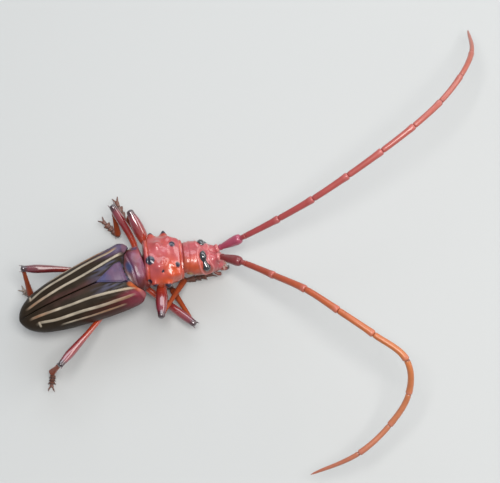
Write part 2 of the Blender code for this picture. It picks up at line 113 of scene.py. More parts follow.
def size_at(table, x):
    """The value at x on a smooth curve through the pairs, held still past both ends."""
    last = len(table) - 1
    i = min(last - 1, max(0, sum(1 for a, _ in table if a <= x) - 1))
    (x0, y0), (x1, y1) = table[i], table[i + 1]
    before, after = table[max(i - 1, 0)], table[min(i + 2, last)]
    slope0 = (y1 - before[1]) / (x1 - before[0])
    slope1 = (after[1] - y0) / (after[0] - x0)
    t = share_of((x - x0) / (x1 - x0))
    h = x1 - x0
    return (
        y0 * (1 + 2 * t) * (1 - t) ** 2 + slope0 * h * t * (1 - t) ** 2
        + y1 * t * t * (3 - 2 * t) + slope1 * h * t * t * (t - 1)
    )


def straight_at(table, x):
    """The value at x with straight lines between the pairs, for forms with creases."""
    for (x0, y0), (x1, y1) in zip(table, table[1:]):
        if x <= x1:
            return y0 + (y1 - y0) * (x - x0) / (x1 - x0)
    return table[-1][1]


TRIAL = ((0.0, 1.0), (1.0, 2.0), (2.0, 1.0))
print("a quarter of the way:", size_at(TRIAL, 0.5), "smooth,", straight_at(TRIAL, 0.5), "straight")

# %% [markdown]
# Most of a beetle's marks and bumps fade at their edges. `ease` is a soft step from 0 to 1, `spot` a
# round mark with a soft rim, and `hill`, `bump` and `groove` are soft swellings. They are enough to
# say where a colour lies or where the shell rises.

# %% Soft steps, spots, bumps and grooves
def ease(low, high, value):
    """0 at low and 1 at high, or the other way round, with a soft start and end."""
    t = share_of((value - low) / (high - low))
    return t * t * (3 - 2 * t)


def spot(point, at, radius, soft=0.3):
    """1 inside a round spot and 0 outside it, with a soft rim."""
    distance = (Vector(point) - Vector(at)).length
    return 1 - ease(radius * (1 - soft), radius * (1 + soft), distance)


def hill(distance, width):
    """1 in the middle, falling off softly to both sides."""
    return math.exp(-(distance / width) ** 2)


def bump(point, at, radius, height):
    return height * hill((Vector(point) - Vector(at)).length, radius)


def groove(distance, width, depth):
    return -depth * hill(distance, width)


def mirrored(point):
    """The same point on the left side, for a form that both sides share."""
    return Vector((point.x, abs(point.y), point.z))


print("halfway up a step:", ease(0.0, 1.0, 0.5), "at a bump's radius:", round(hill(1.0, 1.0), 3))

# %% [markdown]
# Limbs and feelers follow routes. A route is one smooth line through a few joints, read at even
# steps, so that a ring can be pushed along it.

# %% A route through a few points
def route_through(points, steps):
    """Evenly placed points along one smooth curve through a few given ones."""
    stops = [Vector(p) for p in points]
    runs = [0.0]
    for near, far in zip(stops, stops[1:]):
        runs.append(runs[-1] + (far - near).length)
    tables = [[(run, p[axis]) for run, p in zip(runs, stops)] for axis in range(3)]
    even = [runs[-1] * s / steps for s in range(steps + 1)]
    return [Vector([size_at(table, run) for table in tables]) for run in even]


def shares_of(steps):
    """Even shares from 0 to 1, both included."""
    return [s / steps for s in range(steps + 1)]


print("a route has", len(route_through(((0, 0, 0), (1, 0, 1), (2, 0, 0)), 12)), "points")

# %% [markdown]
# `swept` makes a tube: it starts from one capped circle, extrudes the ring of edges to the next
# place on the route, and fills the last ring. A tube could also come from a curve with a bevel, but
# extruding gives each ring its own thickness. `barrel` is a fine tube along x, for the body's
# plates, that a shaping function then moulds.

# %% A ring pushed along a route
THINNEST = 0.004


def ring_place(point, ahead, radius, flat, lift):
    """The matrix that lays a circle of radius 1 across the route."""
    across = ahead.cross(lift).normalized()
    over = across.cross(ahead).normalized()
    place = Matrix((across * radius, over * radius * flat, ahead)).transposed().to_4x4()
    place.translation = point
    return place


def swept(bm, route, radii, sides=20, flat=1.0, lift=Vector((0, 0, 1))):
    """A closed tube along route; flat squashes its section against the lift direction."""
    last = len(route) - 1
    place, edges = None, []
    for k in range(last + 1):
        ahead = (route[min(k + 1, last)] - route[max(k - 1, 0)]).normalized()
        new_place = ring_place(route[k], ahead, max(radii[k], THINNEST), flat, lift)
        if place is None:
            verts = bmesh.ops.create_circle(
                bm, cap_ends=True, segments=sides, radius=1, matrix=new_place)["verts"]
            edges = list(dict.fromkeys(e for v in verts for e in v.link_edges))
        else:
            pushed = bmesh.ops.extrude_edge_only(bm, edges=edges)["geom"]
            verts = [g for g in pushed if isinstance(g, bmesh.types.BMVert)]
            edges = [g for g in pushed if isinstance(g, bmesh.types.BMEdge)]
            bmesh.ops.transform(bm, matrix=new_place @ place.inverted(), verts=verts)
        place = new_place
    bmesh.ops.edgeloop_fill(bm, edges=edges)


def barrel(first, last, rings, sides):
    """A tube of radius 1 along x with many rings, ready to be shaped."""
    bm = bmesh.new()
    route = [Vector((first + (last - first) * k / rings, 0, 0)) for k in range(rings + 1)]
    swept(bm, route, [1.0] * (rings + 1), sides=sides)
    return bm


trial = barrel(0.0, 1.0, 4, 8)
print("a barrel of 4 rings and 8 sides has", len(trial.faces), "faces")
trial.free()

# %% [markdown]
# Finished meshes all pass through one function. It turns the faces outwards, moves the mesh to the
# scene's metres, shades it smooth, and hides the solids that the new piece takes the place of.
# Nothing on the beetle moves by itself, so every piece rides the same body.

# %% Hand a finished mesh to the frame
def piece(bm, name, material, solids):
    """Makes an object of a finished bmesh; solids names the nodes whose place it takes."""
    bmesh.ops.recalc_face_normals(bm, faces=bm.faces)
    if bm.calc_volume(signed=True) < 0:
        bmesh.ops.reverse_faces(bm, faces=bm.faces)
    bmesh.ops.transform(bm, matrix=TO_SCENE, verts=bm.verts)
    mesh = bpy.data.meshes.new(name)
    bm.to_mesh(mesh)
    bm.free()
    mesh.shade_smooth()
    mesh.materials.append(material)
    made = bpy.data.objects.new(name, mesh)
    bpy.context.scene.collection.objects.link(made)
    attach(made, "root")
    if solids:
        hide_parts(*solids)
    print(name, len(mesh.polygons), "faces")
    return made


# %% [markdown]
# Stripes, dark tips and pale rims are numbers on the mesh's points, which a material reads by name.
# A painted picture would need the mesh unwrapped first. A number needs only a rule that says how
# strong a marking is at a point.

# %% Paint a named number on a mesh
def painted(bm, name, rule, shown=None):
    """Writes a number on every point, or on those whose numbers are given, for the materials."""
    layer = bm.verts.layers.float.get(name) or bm.verts.layers.float.new(name)
    bm.verts.ensure_lookup_table()
    for vert in bm.verts if shown is None else [bm.verts[k] for k in shown]:
        vert[layer] = rule(vert.co)


trial = barrel(0.0, 1.0, 4, 8)
painted(trial, "half", lambda p: ease(0.4, 0.6, p.x))
trial_layer = trial.verts.layers.float["half"]
print("painted points:", sum(1 for vert in trial.verts if vert[trial_layer] > 0.9), "of", len(trial.verts))
trial.free()


# %% [markdown]
# ## Shell materials
# Beetle shell is a clear, glossy layer over pigment. So each material keeps one Principled shader
# with a coat, a slow colour drift under it, and a fine relief of punctures. A picture could give
# all that, but noise by the object's own coordinates stays sharp at any distance. The drift and
# the relief are the same effect in every shell, so they are a node group that is built once.

# %% One node group for the drift of colour and the fine relief
DRIFT_SCALE, DRIFT_DETAIL = 900.0, 4.0
PUNCTURE_REACH = 0.35
DRIFT_IN_RELIEF = 0.6


def socket(tree, name, way, kind, value=None):
    """Adds a socket to a node group, on its INPUT or OUTPUT side."""
    made = tree.interface.new_socket(name=name, in_out=way, socket_type=kind)
    if value is not None:
        made.default_value = value


def sum_node(tree, operation, first, second, third=None):
    """A Math node; each of its inputs is another node's output or a number."""
    made = tree.nodes.new("ShaderNodeMath")
    made.operation = operation
    for place, given in enumerate((first, second, third)):
        if isinstance(given, float):
            made.inputs[place].default_value = given
        elif given is not None:
            tree.links.new(given, made.inputs[place])
    return made.outputs[0]


def build_shell_grain():
    tree = bpy.data.node_groups.new("shell grain", "ShaderNodeTree")
    socket(tree, "Colour", "INPUT", "NodeSocketColor", (0.5, 0.5, 0.5, 1))
    socket(tree, "Drift", "INPUT", "NodeSocketFloat", 0.25)
    socket(tree, "Puncture size", "INPUT", "NodeSocketFloat", 6000.0)
    socket(tree, "Roughness", "INPUT", "NodeSocketFloat", 0.3)
    socket(tree, "Colour", "OUTPUT", "NodeSocketColor")
    socket(tree, "Roughness", "OUTPUT", "NodeSocketFloat")
    socket(tree, "Relief", "OUTPUT", "NodeSocketFloat")
    nodes, links = tree.nodes, tree.links
    come, go = nodes.new("NodeGroupInput"), nodes.new("NodeGroupOutput")
    place = nodes.new("ShaderNodeTexCoord")
    slow = nodes.new("ShaderNodeTexNoise")
    slow.inputs["Scale"].default_value = DRIFT_SCALE
    slow.inputs["Detail"].default_value = DRIFT_DETAIL
    links.new(place.outputs["Object"], slow.inputs["Vector"])
    centred = sum_node(tree, "SUBTRACT", slow.outputs["Fac"], 0.5)
    swing = sum_node(tree, "MULTIPLY_ADD", centred, come.outputs["Drift"], 1.0)
    scaled = nodes.new("ShaderNodeVectorMath")
    scaled.operation = "SCALE"
    links.new(come.outputs["Colour"], scaled.inputs[0])
    links.new(swing, scaled.inputs["Scale"])
    links.new(scaled.outputs[0], go.inputs["Colour"])
    links.new(sum_node(tree, "MULTIPLY", come.outputs["Roughness"], swing), go.inputs["Roughness"])
    dots = nodes.new("ShaderNodeTexVoronoi")
    links.new(place.outputs["Object"], dots.inputs["Vector"])
    links.new(come.outputs["Puncture size"], dots.inputs["Scale"])
    pit = nodes.new("ShaderNodeMapRange")
    pit.inputs["From Max"].default_value = PUNCTURE_REACH
    links.new(dots.outputs["Distance"], pit.inputs["Value"])
    relief = sum_node(tree, "MULTIPLY_ADD", slow.outputs["Fac"], DRIFT_IN_RELIEF, pit.outputs["Result"])
    links.new(relief, go.inputs["Relief"])
    return tree


SHELL_GRAIN = build_shell_grain()
print("the shell's grain has", len(SHELL_GRAIN.nodes), "nodes")

# %% [markdown]
# A shell's colour is layered: a ground, then the coloured areas that were painted on the mesh as
# named numbers. Each layer mixes one more colour in by its number, so a new marking is one line.

# %% A shell material with painted markings
RELIEF_DEPTH = 0.00003
MIX_FACTOR, MIX_UNDER, MIX_OVER, MIX_RESULT = 0, 6, 7, 2


def mixed(tree, under, over, factor):
    """Lays one colour over another by a factor; under is a colour or another node's output."""
    mix = tree.nodes.new("ShaderNodeMix")
    mix.data_type = "RGBA"
    tree.links.new(factor, mix.inputs[MIX_FACTOR])
    if isinstance(under, tuple):
        mix.inputs[MIX_UNDER].default_value = (*under, 1)
    else:
        tree.links.new(under, mix.inputs[MIX_UNDER])
    mix.inputs[MIX_OVER].default_value = (*over, 1)
    return mix.outputs[MIX_RESULT]


def shell(name, ground, markings=(), roughness=0.3, coat=0.6, relief=0.25, drift=0.5,
          punctures=6000.0, gloss=0.1, shine=0.5, coat_index=1.5):
    """A material whose markings name a painted number each, and the colour that it brings in."""
    made = bpy.data.materials.new(name)
    made.use_nodes = True
    tree = made.node_tree
    shader = tree.nodes["Principled BSDF"]
    shader.inputs["Coat Weight"].default_value = coat
    shader.inputs["Coat Roughness"].default_value = gloss
    shader.inputs["Coat IOR"].default_value = coat_index
    shader.inputs["Specular IOR Level"].default_value = shine
    colour = ground
    for mark, over in markings:
        number = tree.nodes.new("ShaderNodeAttribute")
        number.attribute_name = mark
        colour = mixed(tree, colour, over, number.outputs["Fac"])
    grain = tree.nodes.new("ShaderNodeGroup")
    grain.node_tree = SHELL_GRAIN
    if markings:
        tree.links.new(colour, grain.inputs["Colour"])
    else:
        grain.inputs["Colour"].default_value = (*ground, 1)
    grain.inputs["Drift"].default_value = drift
    grain.inputs["Puncture size"].default_value = punctures
    grain.inputs["Roughness"].default_value = roughness
    tree.links.new(grain.outputs["Colour"], shader.inputs["Base Color"])
    tree.links.new(grain.outputs["Roughness"], shader.inputs["Roughness"])
    low = tree.nodes.new("ShaderNodeBump")
    low.inputs["Strength"].default_value = relief
    low.inputs["Distance"].default_value = RELIEF_DEPTH
    tree.links.new(grain.outputs["Relief"], low.inputs["Height"])
    tree.links.new(low.outputs["Normal"], shader.inputs["Normal"])
    print("material", name, "with", len(markings), "markings")
    return made


# %% [markdown]
# ## Wing cases
# Each wing case is a thin curved shell with a rounded tip, a knob at the shoulder and raised pale
# stripes. A sheet that gets its thickness from a modifier would spike where it curves tightly at
# the tip. So it starts as a closed tube instead: one half of each ring becomes the outer face and
# the other half the inner one, a wall's thickness behind it. The tube's two directions are the
# animal's own, along the body and from the seam round to the side edge.

# %% The wing case's sizes
CASE_HALF_WIDTH = (
    (-14.6, 0.12), (-14.5, 0.5), (-14.1, 1.2), (-13.4, 1.85), (-12.2, 2.52), (-9.5, 3.23),
    (-6.8, 3.63), (-3.4, 3.98), (-1.0, 4.1), (0.4, 4.07), (1.0, 3.85), (1.65, 3.4),
)
CASE_CREST = (
    (-14.6, 4.75), (-14.3, 5.1), (-13.5, 5.7), (-11.4, 6.65), (-8.0, 7.4), (-4.0, 7.75),
    (-1.0, 7.72), (0.8, 7.3), (1.65, 6.8),
)
CASE_EDGE = ((-14.6, 4.45), (-12.0, 4.15), (-7.0, 4.1), (-2.0, 4.3), (0.4, 4.7), (1.65, 5.3))
# how far forward the front edge lies, from the seam at 0 to the side edge at 1
CASE_FRONT = (
    (0.0, 0.3), (0.25, 0.6), (0.38, 1.05), (0.5, 1.4), (0.62, 1.58), (0.75, 1.58), (0.88, 1.3),
    (1.0, 0.7),
)
CASE_WALL = 0.22
CASE_RINGS, CASE_SIDES = 220, 200
TURN_UNDER = 0.93
SHOULDER = Vector((0.5, 3.25))
print("a wing case is", CASE_HALF_WIDTH[-1][0] - CASE_HALF_WIDTH[0][0], "mm long")

# %% [markdown]
# Three pale stripes run along each wing case: two broad ones, and a fine one low on the side. They
# are raised, so the same rule that says where a stripe lies serves the shape and the colour. Each
# fades out at both ends, and the outer one turns outwards in a small hook near the tip.

# %% Where the stripes run
INNER_STRIPE = (
    (-12.8, 0.7), (-10.4, 1.0), (-7.7, 1.3), (-5.0, 1.5), (-2.5, 1.85), (0.1, 2.3), (1.0, 2.5),
)
OUTER_STRIPE = ((-12.1, 1.6), (-10.0, 2.15), (-6.5, 2.55), (-4.0, 2.88), (-0.4, 3.15), (1.0, 3.3))
SIDE_STRIPE = ((-9.5, 2.86), (-8.4, 3.02), (-6.7, 3.25), (-5.1, 3.43), (-2.7, 3.63), (-1.0, 3.72))
# each stripe's route, half width, and the x of its rear and front ends
STRIPES = (
    (INNER_STRIPE, 0.145, -13.4, 1.0), (OUTER_STRIPE, 0.145, -12.85, 0.6), (SIDE_STRIPE, 0.075, -10.0, -0.9),
)
REAR_FADE, FRONT_FADE = 1.5, 1.1
HOOK_X, HOOK_Y, HOOK_HALF = -12.2, 1.76, 0.19


def stripe_here(x, y, table, half, start, end):
    """How much of a stripe is at a point, fading at both of its ends."""
    away = abs(y - size_at(table, x))
    across = 1 - ease(half * 0.75, half * 1.25, away)
    return across * ease(start, start + REAR_FADE, x) * (1 - ease(end - FRONT_FADE, end, x))


def hook_here(x, y):
    """The outer stripe's end, which turns outwards in a small hook."""
    return 1 - ease(0.08, 0.18, math.hypot(x - HOOK_X, max(0.0, abs(y - HOOK_Y) - HOOK_HALF)))


def stripes_here(x, y):
    return max(*(stripe_here(x, y, *stripe) for stripe in STRIPES), hook_here(x, y))


print("on the inner stripe:", stripes_here(-7.7, 1.3), "beside it:", stripes_here(-7.7, 0.8))

# %% [markdown]
# A point of the wing case starts on a rounded arch between the crest and the side edge. Then it gets
# what lies on it: the shoulder knob, the dip beside it, the lip at the front edge, the seam's fine
# furrow, the stripes, and wrinkles beside the scutellum. Past the side edge the wall turns under.

# %% Mould one wing case
TIP_SPACING = 1.12
ARCH_WIDE, ARCH_HIGH = 0.85, 0.8
SEAM_GAP = 0.004


def case_point(u, v, side):
    """A point of the outer face and the direction in which the wall lies behind it."""
    tip = CASE_CREST[0][0]
    front = size_at(CASE_FRONT, v)
    x = tip + (front - tip) * u ** TIP_SPACING
    wide, crest, edge = (size_at(table, x) for table in (CASE_HALF_WIDTH, CASE_CREST, CASE_EDGE))
    round_angle = math.radians(90 * min(1.0, v / TURN_UNDER))
    y = SEAM_GAP + wide * math.sin(round_angle) ** ARCH_WIDE
    z = edge + (crest - edge) * math.cos(round_angle) ** ARCH_HIGH
    t = max(0.0, (v - TURN_UNDER) / (1 - TURN_UNDER))
    wall_angle = round_angle + math.radians(90 * t)
    y -= 0.4 * t
    z -= 0.16 * math.sin(math.radians(90 * t))
    knob = math.exp(-((x - SHOULDER.x) / 0.85) ** 2 - ((y - SHOULDER.y) / 0.62) ** 2)
    dip = math.exp(-((x - SHOULDER.x - 0.1) / 0.9) ** 2 - ((y - 2.3) / 0.35) ** 2)
    lip = ease(0.6, 0.0, front - x) * ease(0.97, 0.75, v)
    base = ease(-5.5, -1.5, x) * ease(0.3, 0.8, y) * ease(3.0, 2.4, y)
    relief = 0.06 * stripes_here(x, y) + groove(y, 0.08, 0.03)
    relief += 0.05 * base * noise.noise(Vector((x * 1.3, y * 3.5, side)))
    relief += 0.09 * hill(y - 0.95 + 0.09 * x, 0.3) * ease(-7.5, -3.0, x)
    relief += 0.08 * hill(front - x - 0.22, 0.14)
    swell = math.sin(round_angle)
    y += (0.3 * knob + relief * 0.6) * swell
    z += 0.55 * knob - 0.14 * dip - 0.5 * lip + relief
    return Vector((x, side * y, z)), Vector((0, side * math.sin(wall_angle), math.cos(wall_angle)))


print("the tip lies at", [round(v, 2) for v in case_point(0.0, 0.0, 1)[0]], "mm")


# %% [markdown]
# One barrel gives the whole wing case. A point's angle round the barrel says how far from the seam it
# lies, and whether it belongs to the outer face or to the inner one. Only the outer face is seen, so
# only its points get markings.

# %% One whole wing case
def wing_case(side, name, material):
    """Side is 1 for the left one and -1 for the right one."""
    bm = barrel(0.0, 1.0, CASE_RINGS, CASE_SIDES)
    shown = []
    for number, vert in enumerate(bm.verts):
        turn_share = (math.atan2(vert.co.z, vert.co.y) + math.pi) / (2 * math.pi)
        inside = turn_share > 0.5
        v = 2 * (1 - turn_share) if inside else 2 * turn_share
        point, outward = case_point(vert.co.x, v, side)
        vert.co = point - outward * (CASE_WALL if inside else 0.0)
        if not inside:
            shown.append(number)
    paint_case(bm, side, shown)
    return piece(bm, "wing_case_" + name, material, ["elytron_" + name])


print("a wing case is moulded from", CASE_RINGS * CASE_SIDES, "faces")

# %% [markdown]
# The markings are numbers on the mesh, painted on the outer face alone. The stripes are cream in the
# middle of their run and warm near the shoulder and the tip. The shell is red round the shoulder
# knob and wrinkled beside the scutellum, where a painted bluish reflection of the sky lies on it; the
# left shoulder carries that painted reflection too. The right wing case is painted redder and warmer
# than the left, because light falls on that side, with a painted warm light along its front edge and
# a painted pink highlight on the shoulder's rim.

# %% Paint one wing case
def near_line(x, y, start, end):
    """How far a point lies from a straight stretch between two points."""
    here, first, last = Vector((x, y)), Vector(start), Vector(end)
    share = (here - first).dot(last - first) / (last - first).length_squared
    return (here - first.lerp(last, share_of(share))).length


def paint_case(bm, side, shown):
    near = side < 0
    wrinkle = Vector((0.35, 2.2, 1.0))

    def ripple(p):
        return noise.noise(Vector([a * b for a, b in zip(p, wrinkle)]) * 1.6)

    def mark(name, rule):
        painted(bm, name, rule, shown)

    mark("stripe", lambda p: stripes_here(p.x, abs(p.y)) * (0.88 + 0.3 * noise.noise(p * 0.9)))
    # Warm stripe ends, painted stronger near the right shoulder because light falls on that side.
    warm = bm.verts.layers.float.new("stripe_warm")
    stripe = bm.verts.layers.float["stripe"]
    for vert in [v for v in bm.verts if v[stripe] > 0.001]:
        p = vert.co
        vert[warm] = vert[stripe] * min(1.0, max(
            ease(-5.5, 0.0, p.x) * (0.9 if near else 0.2) * ease(1.7, 3.0, abs(p.y)),
            ease(-8.5, -12.4, p.x) * ease(1.7, 1.2, abs(p.y)) + 0.2 * ripple(p),
            ease(-9.0, -3.0, p.x) * ease(3.0, 3.2, abs(p.y))))
    # Red along the side and round the shoulder: the shell's own colour, painted stronger on the right wing
    # case because light falls on that side.
    mark("side_red", lambda p: (
        ease(-9.0, -0.5, p.x) * ease(2.2, 3.3, abs(p.y)) * (1.0 if near else 0.4)))
    mark("shoulder_red", lambda p: (
        ease(-2.6, 0.4, p.x) * ease(1.9, 3.2, abs(p.y)) * ease(3.9, 6.0, p.z) * (0.95 if near else 0.2)))
    mark("seam_brown", lambda p: (
        ease(0.95, 0.3, abs(p.y)) * ease(-12.5, -8.0, p.x) * (0.6 + 0.8 * ripple(p))))
    # Painted bluish reflection of the sky on the wrinkled shell beside the scutellum, brightest along the
    # basal ridge.
    mark("sky_reflection", lambda p: ease(-5.2, -2.0, p.x) * ease(2.1, 1.7, abs(p.y) - 0.08 * p.x) * share_of(
        0.25 + 2.2 * ripple(p) + 0.6 * hill(abs(p.y) - 0.95 + 0.09 * p.x, 0.25)))
    # Painted bluish reflection of the sky on the left shoulder; the right one has almost none.
    mark("sky_reflection_shoulder", lambda p: (
        ease(-3.4, 0.2, p.x) * ease(2.2, 3.0, abs(p.y)) * ease(3.9, 5.8, p.z)
        * (0.05 if near else 1.0 + 0.5 * ripple(p))))
    # Painted warm light along the right wing case's front edge, which the left one lacks.
    mark("warm_light_edge", lambda p: (
        ease(0.5, 0.08, near_line(p.x, abs(p.y), *WARM_LIGHT_LINE)) * ((0.8 + 0.4 * ripple(p)) if near else 0.0)))
    # Painted pink highlight along the shoulder's front rim, stronger on the right.
    mark("rim", lambda p: (
        ease(0.35, 0.15, near_line(p.x, abs(p.y), *RIM_HIGHLIGHT_LINE)) * (0.45 if near else 0.2)))


# The stretches along which the painted warm light and the painted rim highlight lie.
WARM_LIGHT_LINE = ((0.3, 1.75), (1.05, 2.7))
RIM_HIGHLIGHT_LINE = ((1.1, 2.7), (1.35, 3.6))
# Among these colours, the two sky reflections, the warm light and the rim are painted light.
CASE_MARKS = (
    ("seam_brown", (0.05, 0.02, 0.016)),
    ("side_red", (0.05, 0.01, 0.006)),
    ("shoulder_red", (0.17, 0.022, 0.035)),
    ("sky_reflection", (0.055, 0.052, 0.082)),
    ("sky_reflection_shoulder", (0.075, 0.055, 0.1)),
    ("warm_light_edge", (0.45, 0.1, 0.025)),
    ("rim", (0.38, 0.15, 0.14)),
    ("stripe", (0.36, 0.31, 0.235)),
    ("stripe_warm", (0.22, 0.11, 0.055)),
)
CASE_SHELL = shell(
    "wing case shell", (0.019, 0.012, 0.006), CASE_MARKS, roughness=0.48, coat=0.03, relief=0.4,
    drift=0.9, punctures=7000.0, shine=0.16)
wing_case(1, "left", CASE_SHELL)
wing_case(-1, "right", CASE_SHELL)

# %% [markdown]
# ## Scutellum
# Between the wing cases lies a large raised triangle, slightly domed, that points back. A grid
# gives it a clean surface: one direction runs from the base to the point, the other across, and the
# height falls off towards the rim. The rim is then extruded down so that the plate has a body.

# %% The scutellum's outline and height
SHIELD_LENGTH, SHIELD_HALF = 3.85, 1.45
SHIELD_DEPTH = 0.4


def shield_half(x):
    """Half the plate's width at x."""
    return SHIELD_HALF * share_of((x + SHIELD_LENGTH) / (SHIELD_LENGTH - 0.55)) ** 0.92


def shield_point(u, v):
    """A point of the plate; u runs from its rear point to its base, v across it."""
    x = -SHIELD_LENGTH + (SHIELD_LENGTH + SHIELD_FRONT) * u
    y = max(shield_half(x), 0.02) * (2 * v - 1)
    rim = min(shield_half(x) - abs(y), (SHIELD_FRONT - x) * 0.9, (x + SHIELD_LENGTH) * 0.6)
    dome = 0.16 * (1 - (y / SHIELD_HALF) ** 2) - 0.05 * abs(x + 1.2)
    furrow = groove(rim - 0.28, 0.1, 0.06)
    return Vector((x, y, SHIELD_TOP - 0.2 + dome + furrow - 0.42 * (1 - ease(-0.02, 0.24, rim))))


print("the scutellum is", round(2 * shield_half(0.0), 2), "mm wide at its base")

# %% Mould the scutellum
bm = bmesh.new()
bmesh.ops.create_grid(bm, x_segments=90, y_segments=70, size=0.5)
for vert in bm.verts:
    vert.co = shield_point(vert.co.x + 0.5, vert.co.y + 0.5)
rim_edges = [e for e in bm.edges if e.is_boundary]
skirt = bmesh.ops.extrude_edge_only(bm, edges=rim_edges)["geom"]
skirt_verts = [g for g in skirt if isinstance(g, bmesh.types.BMVert)]
bmesh.ops.translate(bm, verts=skirt_verts, vec=(0, 0, -SHIELD_DEPTH))
bmesh.ops.edgeloop_fill(bm, edges=[g for g in skirt if isinstance(g, bmesh.types.BMEdge)])
# The purple ground and the blue towards the point are a painted reflection of the sky on the dark plate; the
# plate is painted darker along its edge.
painted(bm, "blue", lambda p: share_of(ease(-1.0, -2.9, p.x) + 0.6 * noise.noise(p * 1.4)))
painted(bm, "rim", lambda p: ease(0.3, 0.12, shield_half(p.x) - abs(p.y)))
SHIELD_SHELL = shell("scutellum shell", (0.1, 0.055, 0.1), (
    ("blue", (0.055, 0.055, 0.13)), ("rim", (0.014, 0.009, 0.03)),
), roughness=0.42, coat=0.05, relief=0.35, drift=0.8, punctures=6000.0, shine=0.25)
piece(bm, "scutellum_plate", SHIELD_SHELL, ["scutellum"])

# %% [markdown]
# ## Thorax and belly
# Under the wing cases the body is a tube with a wide, rounded section. A barrel along x is shaped
# over a few named widths and heights, then grooved where the real plates meet: a furrow down the
# breast and slanting seams on its sides. The leg sockets are domes set into it.

# %% The breast's sizes
BREAST_HALF_WIDTH = (
    (-5.2, 2.6), (-3.0, 3.15), (-0.5, 3.35), (0.7, 3.2), (1.3, 2.9), (2.1, 2.78), (2.85, 2.55),
)
BREAST_TOP = ((-5.2, 6.7), (-2.0, 6.85), (0.6, 6.8), (1.6, 6.95), (2.85, 6.5))
BREAST_BOTTOM = ((-5.2, 2.35), (-2.5, 2.1), (1.0, 2.2), (2.85, 2.9))
BREAST_WIDEST = 4.3
BREAST_BEND = ((-5.2, 0.0), (0.0, 0.0), (2.85, 0.52))
MIDDLE_SOCKET, HIND_SOCKET = (1.5, 1.15, 2.55), (-3.6, 1.35, 2.5)
SOCKET_SIZE = (0.87, 0.87, 0.72)
print("the breast is", 2 * size_at(BREAST_HALF_WIDTH, 0.0), "mm wide")

# %% [markdown]
# The same three steps shape every plate of the body. `body_form` reads a section from four tables,
# `moulded` sets a barrel's points on it and lifts or sinks them by a relief, and `dome_pair` adds a
# pair of leg sockets.

# %% Shape a barrel into a plate of the body
ROUNDNESS = 2.3


def body_form(half_width, top, bottom, widest):
    """The rule for a body section whose widest level parts two half ovals."""
    def point_at(x, angle):
        across, over = math.cos(angle), math.sin(angle)
        y = size_at(half_width, x) * math.copysign(abs(across) ** (2 / ROUNDNESS), across)
        height = (size_at(top, x) - widest) if over > 0 else (widest - size_at(bottom, x))
        return Vector((x, y, widest + math.copysign(height * abs(over) ** (2 / ROUNDNESS), over)))
    return point_at


def moulded(bm, base, relief):
    """Sets each point on the base form, then lifts or sinks it along its own direction."""
    places = []
    for vert in bm.verts:
        angle = math.atan2(vert.co.z, vert.co.y)
        spread = math.hypot(vert.co.y, vert.co.z)
        point = base(vert.co.x, angle)
        middle = base(vert.co.x, 0.0)
        centre = Vector((point.x, 0, middle.z))
        point = centre + (point - centre) * spread
        out = (point - centre).normalized()
        places.append((vert, point + out * relief(point) * spread))
    for vert, place in places:
        vert.co = place


def dome_pair(bm, at, size):
    for side in (-1, 1):
        dome = Matrix.Translation((at[0], side * at[1], at[2])) @ Matrix.Diagonal((*size, 1))
        bmesh.ops.create_uvsphere(bm, u_segments=32, v_segments=20, radius=1, matrix=dome)


BREAST_FORM = body_form(BREAST_HALF_WIDTH, BREAST_TOP, BREAST_BOTTOM, BREAST_WIDEST)
print("the breast's top lies at", round(BREAST_FORM(0.0, math.radians(90)).z, 2), "mm")

# %% Mould the breast and waist
def breast_relief(p):
    low = ease(3.6, 3.0, p.z)
    high = ease(6.0, 6.5, p.z)
    side = 1 - max(low, high)
    lift = groove(p.y, 0.12, 0.14) * low
    lift += groove(p.x + 0.6 + 0.25 * abs(p.y), 0.12, 0.12) * low
    lift += groove(p.z - 3.7 - 0.18 * (p.x + 2), 0.12, 0.12) * side
    lift += groove(p.x - 1.2 - 0.35 * (p.z - 4), 0.12, 0.14) * side
    lift += groove(p.x - 1.35 + 0.1 * abs(p.y), 0.12, 0.12) * high
    lift += bump(p, (2.1, 0.0, 6.9), 0.7, 0.12) + bump(mirrored(p), (1.9, 1.5, 6.4), 0.5, 0.12)
    return lift


bm = barrel(-5.2, 2.8, 110, 110)
moulded(bm, BREAST_FORM, breast_relief)
for vert in bm.verts:
    vert.co.y += size_at(BREAST_BEND, vert.co.x)
dome_pair(bm, MIDDLE_SOCKET, SOCKET_SIZE)
dome_pair(bm, HIND_SOCKET, SOCKET_SIZE)

# %% [markdown]
# Where the breast shows between the collar and the wing cases it is dark red, with a painted violet
# reflection of the sky on its top, and painted blue-black shade stands for a pit in front of the
# scutellum and another on the side.

# %% Colour the breast
# Painted violet reflection of the sky on the breast's top.
painted(bm, "sky_reflection", lambda p: (
    ease(6.0, 6.7, p.z) * ease(0.6, 1.4, p.x) * (0.55 + 0.5 * noise.noise(p * 1.3))))
# Painted blue-black shade for a pit in front of the scutellum and another on the side.
painted(bm, "pit", lambda p: max(
    spot((p.x, 0.6 * p.y), (0.95, 0.2), 0.42, 0.5) * ease(6.0, 6.4, p.z),
    0.9 * spot(p, (2.3, 2.4, 5.8), 0.4, 0.4)))
painted(bm, "red", lambda p: ease(1.4, 2.6, p.x))
BREAST_SHELL = shell("breast shell", (0.07, 0.011, 0.01), (
    ("red", (0.22, 0.032, 0.03)), ("sky_reflection", (0.17, 0.062, 0.12)), ("pit", (0.025, 0.032, 0.09)),
), roughness=0.36, coat=0.15, relief=0.3, punctures=6500.0)
piece(bm, "breast", BREAST_SHELL, ["thorax"])

# %% [markdown]
# The belly shows five overlapping plates from below. The rear edge of each stands a little proud of
# the next, which a step in the relief gives, and each plate's rim is painted paler, a painted
# highlight where the edge would catch the light.

